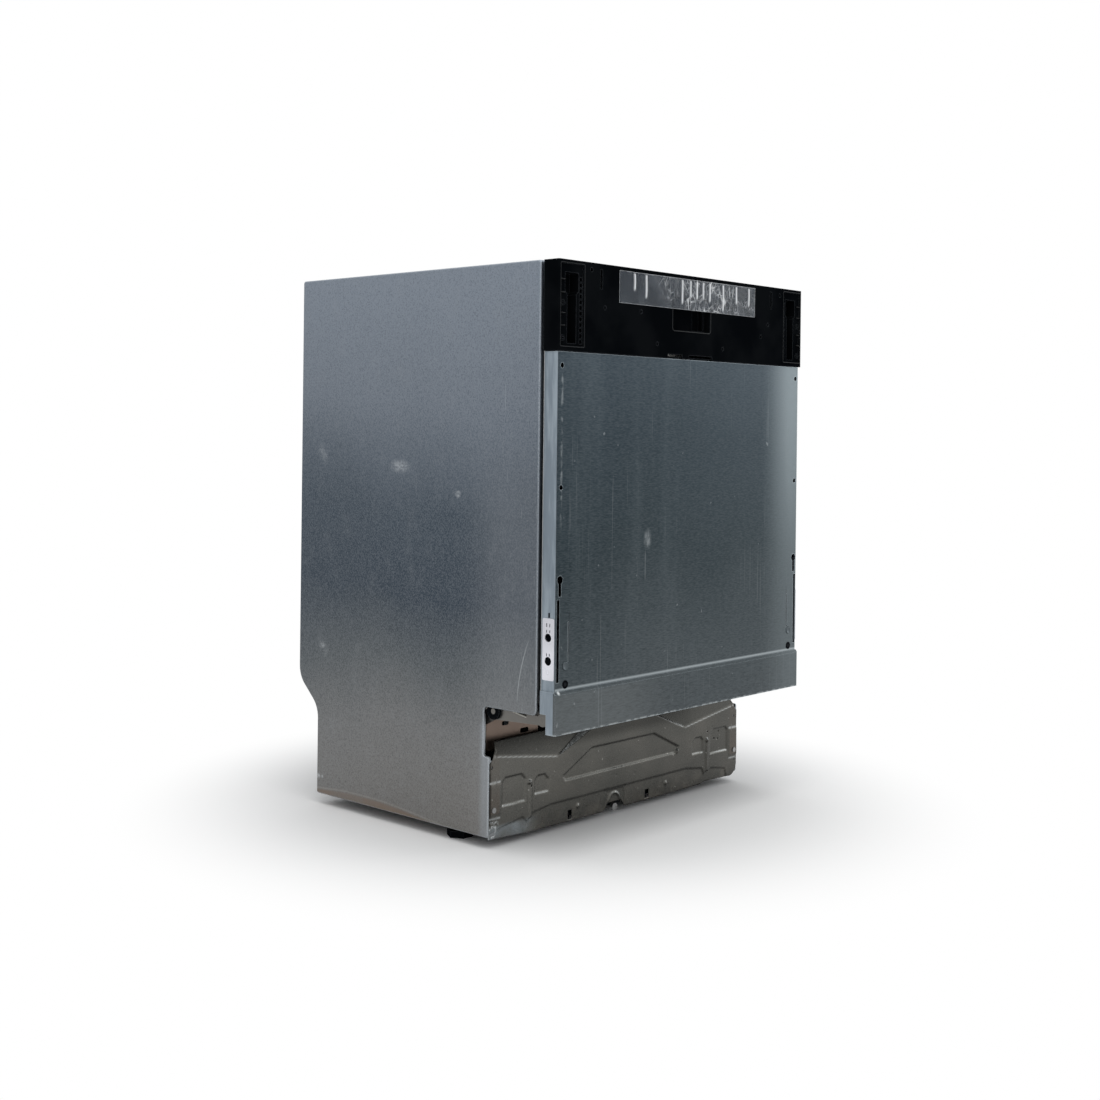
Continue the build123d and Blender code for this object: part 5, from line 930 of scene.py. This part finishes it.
def box_outline(u, v, wide, tall):
    """Corners of a rectangle about its middle, anticlockwise."""
    return [(u - wide / 2, v - tall / 2), (u + wide / 2, v - tall / 2),
            (u + wide / 2, v + tall / 2), (u - wide / 2, v + tall / 2)]


def build_side_plate(side, end_name):
    """White clip plate with holes, slots, rings and domes, over a dark backing with a notch above it."""
    outlines = [rounded_rectangle(PLATE_LOW, PLATE_HIGH, PLATE_CORNER)]
    outlines += [circle(PLATE_Y, z, PLATE_HOLE) for z in PLATE_HOLES]
    outlines += [box_outline(PLATE_Y + across, z, SLOT_WIDE, tall) for across, z, tall in PLATE_SLOTS]
    inner = FLANGE_X + BACKING + SEAT
    shape = sided_plate(side, "side_plate_" + end_name, outlines, inner, PLATE_THICK, 0.25)
    outward = (side, 0, 0)
    face_x = side * (inner + PLATE_THICK - SEAT)
    shape.turned((face_x, PLATE_Y, RING_Z), outward, RING_PROFILE, loop=True)
    shape.turned((face_x, PLATE_Y, EYE_Z), outward, EYE_PROFILE, loop=True)
    for across in SIDES:
        shape.turned((face_x, PLATE_Y + across * DOME_APART, PLATE_HOLES[0]), outward, DOME_PROFILE, 16)
    plate = shape.piece("side_plate_" + end_name, "door", "white_plastic", False)
    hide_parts("door_side_plates")
    low = (PLATE_LOW[0] + 1, PLATE_LOW[1] + 1)
    high = (PLATE_HIGH[0] - 1, PLATE_HIGH[1] - 1)
    outlines = [rounded_rectangle(low, high, 2.0)]
    dark = sided_plate(side, "side_backing_" + end_name, outlines, FLANGE_X + BACKING_SEAT, BACKING, 0.1)
    low = (PLATE_Y - NOTCH_HALF, PLATE_HIGH[1] + NOTCH_FROM)
    high = (PLATE_Y + NOTCH_HALF, PLATE_HIGH[1] + NOTCH_TO)
    outlines = [rounded_rectangle(low, high, 1.2)]
    dark.join(sided_plate(side, "side_notch_" + end_name, outlines, FLANGE_X + BACKING_SEAT, 0.3, 0.05))
    dark.piece("side_backing_" + end_name, "door", "black_plastic", False)


LUG_INNER, LUG_THICK = 285.2, 2.6
LUG_LOW, LUG_HIGH = (-243.0, 198.0), (-226.0, 213.0)
RIVET_Y, RIVET_Z, RIVET_PROFILE = -232.5, 206.0, ((2.6, 0.0), (2.3, 0.5), (1.4, 0.8), (0.2, 0.9))


def build_hinge_lugs():
    """Upturned lug of each hinge plate beside the door's lower corner, with its rivet."""
    for side, end_name in ENDS:
        outline = rounded_rectangle(LUG_LOW, LUG_HIGH, 5.0)
        lug = sided_plate(side, "hinge_lug_" + end_name, [outline], LUG_INNER, LUG_THICK, 0.4)
        rivet_x = side * (LUG_INNER + LUG_THICK - 0.1)
        lug.turned((rivet_x, RIVET_Y, RIVET_Z), (side, 0, 0), RIVET_PROFILE, 18)
        lug.piece("hinge_lug_" + end_name, "cabinet", "steel", False)


WALL_FRONT, WALL_GAUGE, WALL_BEVEL = -133.0, 0.8, 0.15
WALL_LOW, WALL_HIGH = (176.0, 132.0), (283.8, 199.0)
WALL_SLOTS = (((196.0, 150.0), (214.0, 157.0)), ((238.0, 166.0), (252.0, 172.0)))
FLANGE_LOW, FLANGE_HIGH = (284.6, 104.0), (297.4, 188.0)
FLANGE_HOLE = (291.5, 169.0, 1.9)


def build_cross_plate(side, name, outlines, finish):
    """A flat plate across the toe space."""
    points, faces = cut_plate(name, outlines, WALL_GAUGE, WALL_BEVEL)
    plate = Shape()
    plate.points = [(side * u, WALL_FRONT + WALL_GAUGE / 2 + w, v) for u, v, w in points]
    plate.faces = [tuple(reversed(face)) for face in faces] if side > 0 else faces
    plate.piece(name, "cabinet", "steel", False, finish)


def build_toe_walls():
    """Sheet wall across each end of the toe space, behind the plinth, and the flange beside it."""
    for side, end_name in ENDS:
        wall = [rounded_rectangle(WALL_LOW, WALL_HIGH, 5.0)]
        wall += [rounded_rectangle(low, high, 2.9) for low, high in WALL_SLOTS]
        build_cross_plate(side, "toe_wall_" + end_name, wall, "toe_wall")
        flange = [rounded_rectangle(FLANGE_LOW, FLANGE_HIGH, 2.0), circle(*FLANGE_HOLE)]
        build_cross_plate(side, "toe_flange_" + end_name, flange, "hinge_plate")


BUTTON_X, BUTTON_Y = 272.2, DOOR_SKIN + 0.1
# Name, height, profile as (radius, height), slot and finish
BUTTONS = (
    ("door_boss_", 269.8, ((6.2, 0.0), (5.7, 0.8), (5.0, 1.2), (4.4, 0.9), (3.2, 0.5), (0.3, 0.4)),
     "door_sheet", "door_pressing"),
    ("door_plug_", 244.8, ((6.0, 0.0), (5.8, 0.5), (5.2, 0.75), (4.4, 0.6), (0.3, 0.2)),
     "black_plastic", None),
)


def build_door_buttons():
    """Round pressing and dark plug low on each side of the door skin."""
    for side, end_name in ENDS:
        for name, z, profile, slot, finish in BUTTONS:
            button = Shape()
            button.turned((side * BUTTON_X, BUTTON_Y, z), (0, -1, 0), profile)
            button.piece(name + end_name, "door", slot, finish=finish)


ROPE_X = 290.8
ROPE_RADIUS = 1.2
# From the hinge arm over the pulley down to the spring, as (y, z)
ROPE_ROUTE = ((-218.7, 195.0), (-161.4, 205.0), (-152.4, 206.6), (-145.0, 201.4), (-93.4, 165.3))
SPRING_END = (13.1, 90.7)
COIL_RADIUS, WIRE_RADIUS, HOOK, COIL_PITCH, COIL_STEPS = 3.3, 0.65, 7.0, 1.9, 14


def build_rope(side, name):
    """Braided rope as a round curve."""
    curve = bpy.data.curves.new(name, "CURVE")
    curve.dimensions = "3D"
    curve.bevel_depth = ROPE_RADIUS * MM
    curve.bevel_resolution = 3
    curve.use_fill_caps = True
    spline = curve.splines.new("NURBS")
    spline.points.add(len(ROPE_ROUTE) - 1)
    for point, (y, z) in zip(spline.points, ROPE_ROUTE):
        point.co = (side * ROPE_X * MM, y * MM, z * MM, 1.0)
    spline.order_u = 3
    spline.use_endpoint_u = True
    piece = new_object(name, curve)
    curve.materials.append(FINISHES["rope"])
    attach(piece, "cabinet")
    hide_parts("spring_ropes")


def build_spring(side, name):
    """Door counterbalance spring: an open coil with a hook at each end."""
    start = Vector((side * ROPE_X, *ROPE_ROUTE[-1]))
    end = Vector((side * ROPE_X, *SPRING_END))
    axis = (end - start).normalized()
    across = axis.cross(Vector((1, 0, 0))).normalized()
    over = axis.cross(across)
    length = (end - start).length
    turns = (length - 2 * HOOK) / COIL_PITCH
    path = [start]
    for k in range(int(turns * COIL_STEPS) + 1):
        angle = 2 * math.pi * k / COIL_STEPS
        grown = COIL_RADIUS * min(1.0, k / COIL_STEPS, (turns * COIL_STEPS - k) / COIL_STEPS + 0.05)
        middle = start + axis * (HOOK + COIL_PITCH * k / COIL_STEPS)
        path.append(middle + grown * (math.cos(angle) * across + math.sin(angle) * over))
    path.append(end)
    shape = Shape()
    shape.tube(path, WIRE_RADIUS, 6)
    piece = shape.piece(name, "cabinet", "steel")
    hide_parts("door_springs")


FASCIA_FACE = -274.8
POCKET_STEP = 3.0
RECESS_HALF = 46.0
RECESS_LOW, RECESS_HIGH = 742.0, 790.0
POCKET_INNER, POCKET_OUTER = 244.5, 292.5
POCKET_LOW, POCKET_HIGH = 707.0, 820.0
POCKET_BARS = (735.0, 752.0, 780.0, 798.0)
BAR_INNER, BAR_OUTER = 283.2, 292.3
# A bar's outline: depth behind the fascia's face, and offset up or down
BAR_OUTLINE = ((0.4, -0.7), (0.1, 0.0), (0.4, 0.7), (POCKET_STEP, 0.9), (POCKET_STEP, -0.9))


def bead(shape, low, high, corner, radius):
    """A raised round bead along a rounded rectangle on the fascia."""
    outline = rounded_rectangle(low, high, corner)
    path = [(u, FASCIA_FACE - 0.2 * radius, v) for u, v in outline]
    shape.tube(path, radius, 8, True)


def build_fascia_trim():
    """Moulded beads round the fascia's recess and pockets, and the small bars beside the bracket wells."""
    shape = Shape()
    bead(shape, (-RECESS_HALF - 1.0, RECESS_LOW - 1.0), (RECESS_HALF + 1.0, RECESS_HIGH + 1.0), 5.0, 0.75)
    for side in SIDES:
        ends = sorted((side * (POCKET_INNER - 0.8), side * (POCKET_OUTER + 0.8)))
        bead(shape, (ends[0], POCKET_LOW - 0.8), (ends[1], POCKET_HIGH + 0.8), 2.0, 0.5)
        for z in POCKET_BARS:
            shape.strip([[(side * x, FASCIA_FACE + depth, z + up) for depth, up in BAR_OUTLINE]
                         for x in (BAR_INNER, BAR_OUTER)])
    shape.piece("fascia_trim", "door", "black_plastic", finish="black_trim")


build_plinth()
build_film()
build_fascia_trim()
for plate_end in ENDS:
    build_side_plate(*plate_end)
build_door_buttons()
build_hinge_lugs()
build_toe_walls()
for rope_side, rope_end in ENDS:
    build_rope(rope_side, "rope_" + rope_end)
    build_spring(rope_side, "spring_" + rope_end)


CAMERA_PLACE = (-1.800443, -1.640026, 0.592121)
SENSOR, LENS, SHIFT = 36.0, 49.134, -0.1091

camera_data = bpy.data.cameras.new("camera")
camera = new_object("camera", camera_data)
right = Vector((0.67579085, -0.73700395, 0.01148465))
upward = Vector((-0.0077708, 0.00845647, 0.99993405))
backward = Vector((-0.73705247, -0.67583553, -0.0000123))
turn = Matrix((right, upward, backward)).transposed().to_4x4()
camera.matrix_world = Matrix.Translation(CAMERA_PLACE) @ turn
camera_data.sensor_width = SENSOR
camera_data.lens = LENS
camera_data.shift_y = SHIFT
bpy.context.scene.camera = camera


def area_lamp(name, place, target, size, watts, tint):
    """A soft rectangular lamp that faces a target."""
    lamp = bpy.data.lights.new(name, "AREA")
    lamp.shape = "RECTANGLE"
    lamp.size, lamp.size_y = size
    lamp.energy = watts
    lamp.color = tint
    made = new_object(name, lamp)
    made.location = place
    made.rotation_euler = (Vector(target) - Vector(place)).to_track_quat("-Z", "Y").to_euler()


area_lamp("overhead", (-0.3, -0.6, 2.7), (0.0, 0.0, 0.4), (2.6, 2.6), 32.0, (1.0, 0.99, 0.97))
area_lamp("right_fill", (2.6, -1.75, 0.9), (0.1, -0.2, 0.5), (0.9, 1.6), 9.0, (0.98, 1.0, 1.0))


def seen_rays(tree):
    """One for rays that show the background: camera, glossy and transmission."""
    paths = tree.nodes.new("ShaderNodeLightPath")
    total = paths.outputs["Is Camera Ray"]
    for key in ("Is Glossy Ray", "Is Transmission Ray"):
        joined = tree.nodes.new("ShaderNodeMath")
        joined.operation = "MAXIMUM"
        tree.links.new(total, joined.inputs[0])
        tree.links.new(paths.outputs[key], joined.inputs[1])
        total = joined.outputs[0]
    return total


def show(tree, share, first, second, target):
    """Mixes two shaders by a share, into an output."""
    blend = tree.nodes.new("ShaderNodeMixShader")
    for socket, source in zip(blend.inputs, (share, first.outputs[0], second.outputs[0])):
        tree.links.new(source, socket)
    tree.links.new(blend.outputs[0], target.inputs["Surface"])


WHITE = (1.0, 1.0, 1.0, 1.0)
SURROUND_TINT, SURROUND_LIGHT = (0.97, 0.985, 1.0, 1.0), 0.62
FLOOR_TONE, FLOOR_REACH = (0.97, 0.97, 0.97, 1.0), 12.0
# How far out the floor starts to fade to the surround, and ends
FADE_FROM, FADE_TO = 0.34, 0.70


def build_world():
    """An even white surround: white where it shows, softer where it lights."""
    world = bpy.data.worlds.new("studio")
    world.use_nodes = True
    tree = world.node_tree
    tree.nodes.clear()
    light, shown = (tree.nodes.new("ShaderNodeBackground") for _ in range(2))
    light.inputs["Color"].default_value = SURROUND_TINT
    light.inputs["Strength"].default_value = SURROUND_LIGHT
    shown.inputs["Color"].default_value = WHITE
    show(tree, seen_rays(tree), light, shown, tree.nodes.new("ShaderNodeOutputWorld"))
    bpy.context.scene.world = world


def build_floor():
    """A pale floor that keeps the object's shadow and fades to the white surround."""
    f = Finish("floor_white")
    matt = f.node("BsdfDiffuse")
    matt.inputs["Color"].default_value = FLOOR_TONE
    away = f.node("VectorMath", operation="LENGTH")
    f.link(f.place, away.inputs[0])
    share = f.times(f.rise(away.outputs["Value"], FADE_FROM, FADE_TO), seen_rays(f.tree))
    show(f.tree, share, matt, f.node("Emission"), f.tree.nodes["Material Output"])
    mesh = bpy.data.meshes.new("floor")
    corners = [(FLOOR_REACH * u, FLOOR_REACH * v, 0) for u, v in ((-1, -1), (1, -1), (1, 1), (-1, 1))]
    mesh.from_pydata(corners, [], [(0, 1, 2, 3)])
    mesh.materials.append(f.material)
    floor = new_object("floor", mesh)


build_world()
build_floor()
bpy.context.scene.view_settings.view_transform = "Standard"
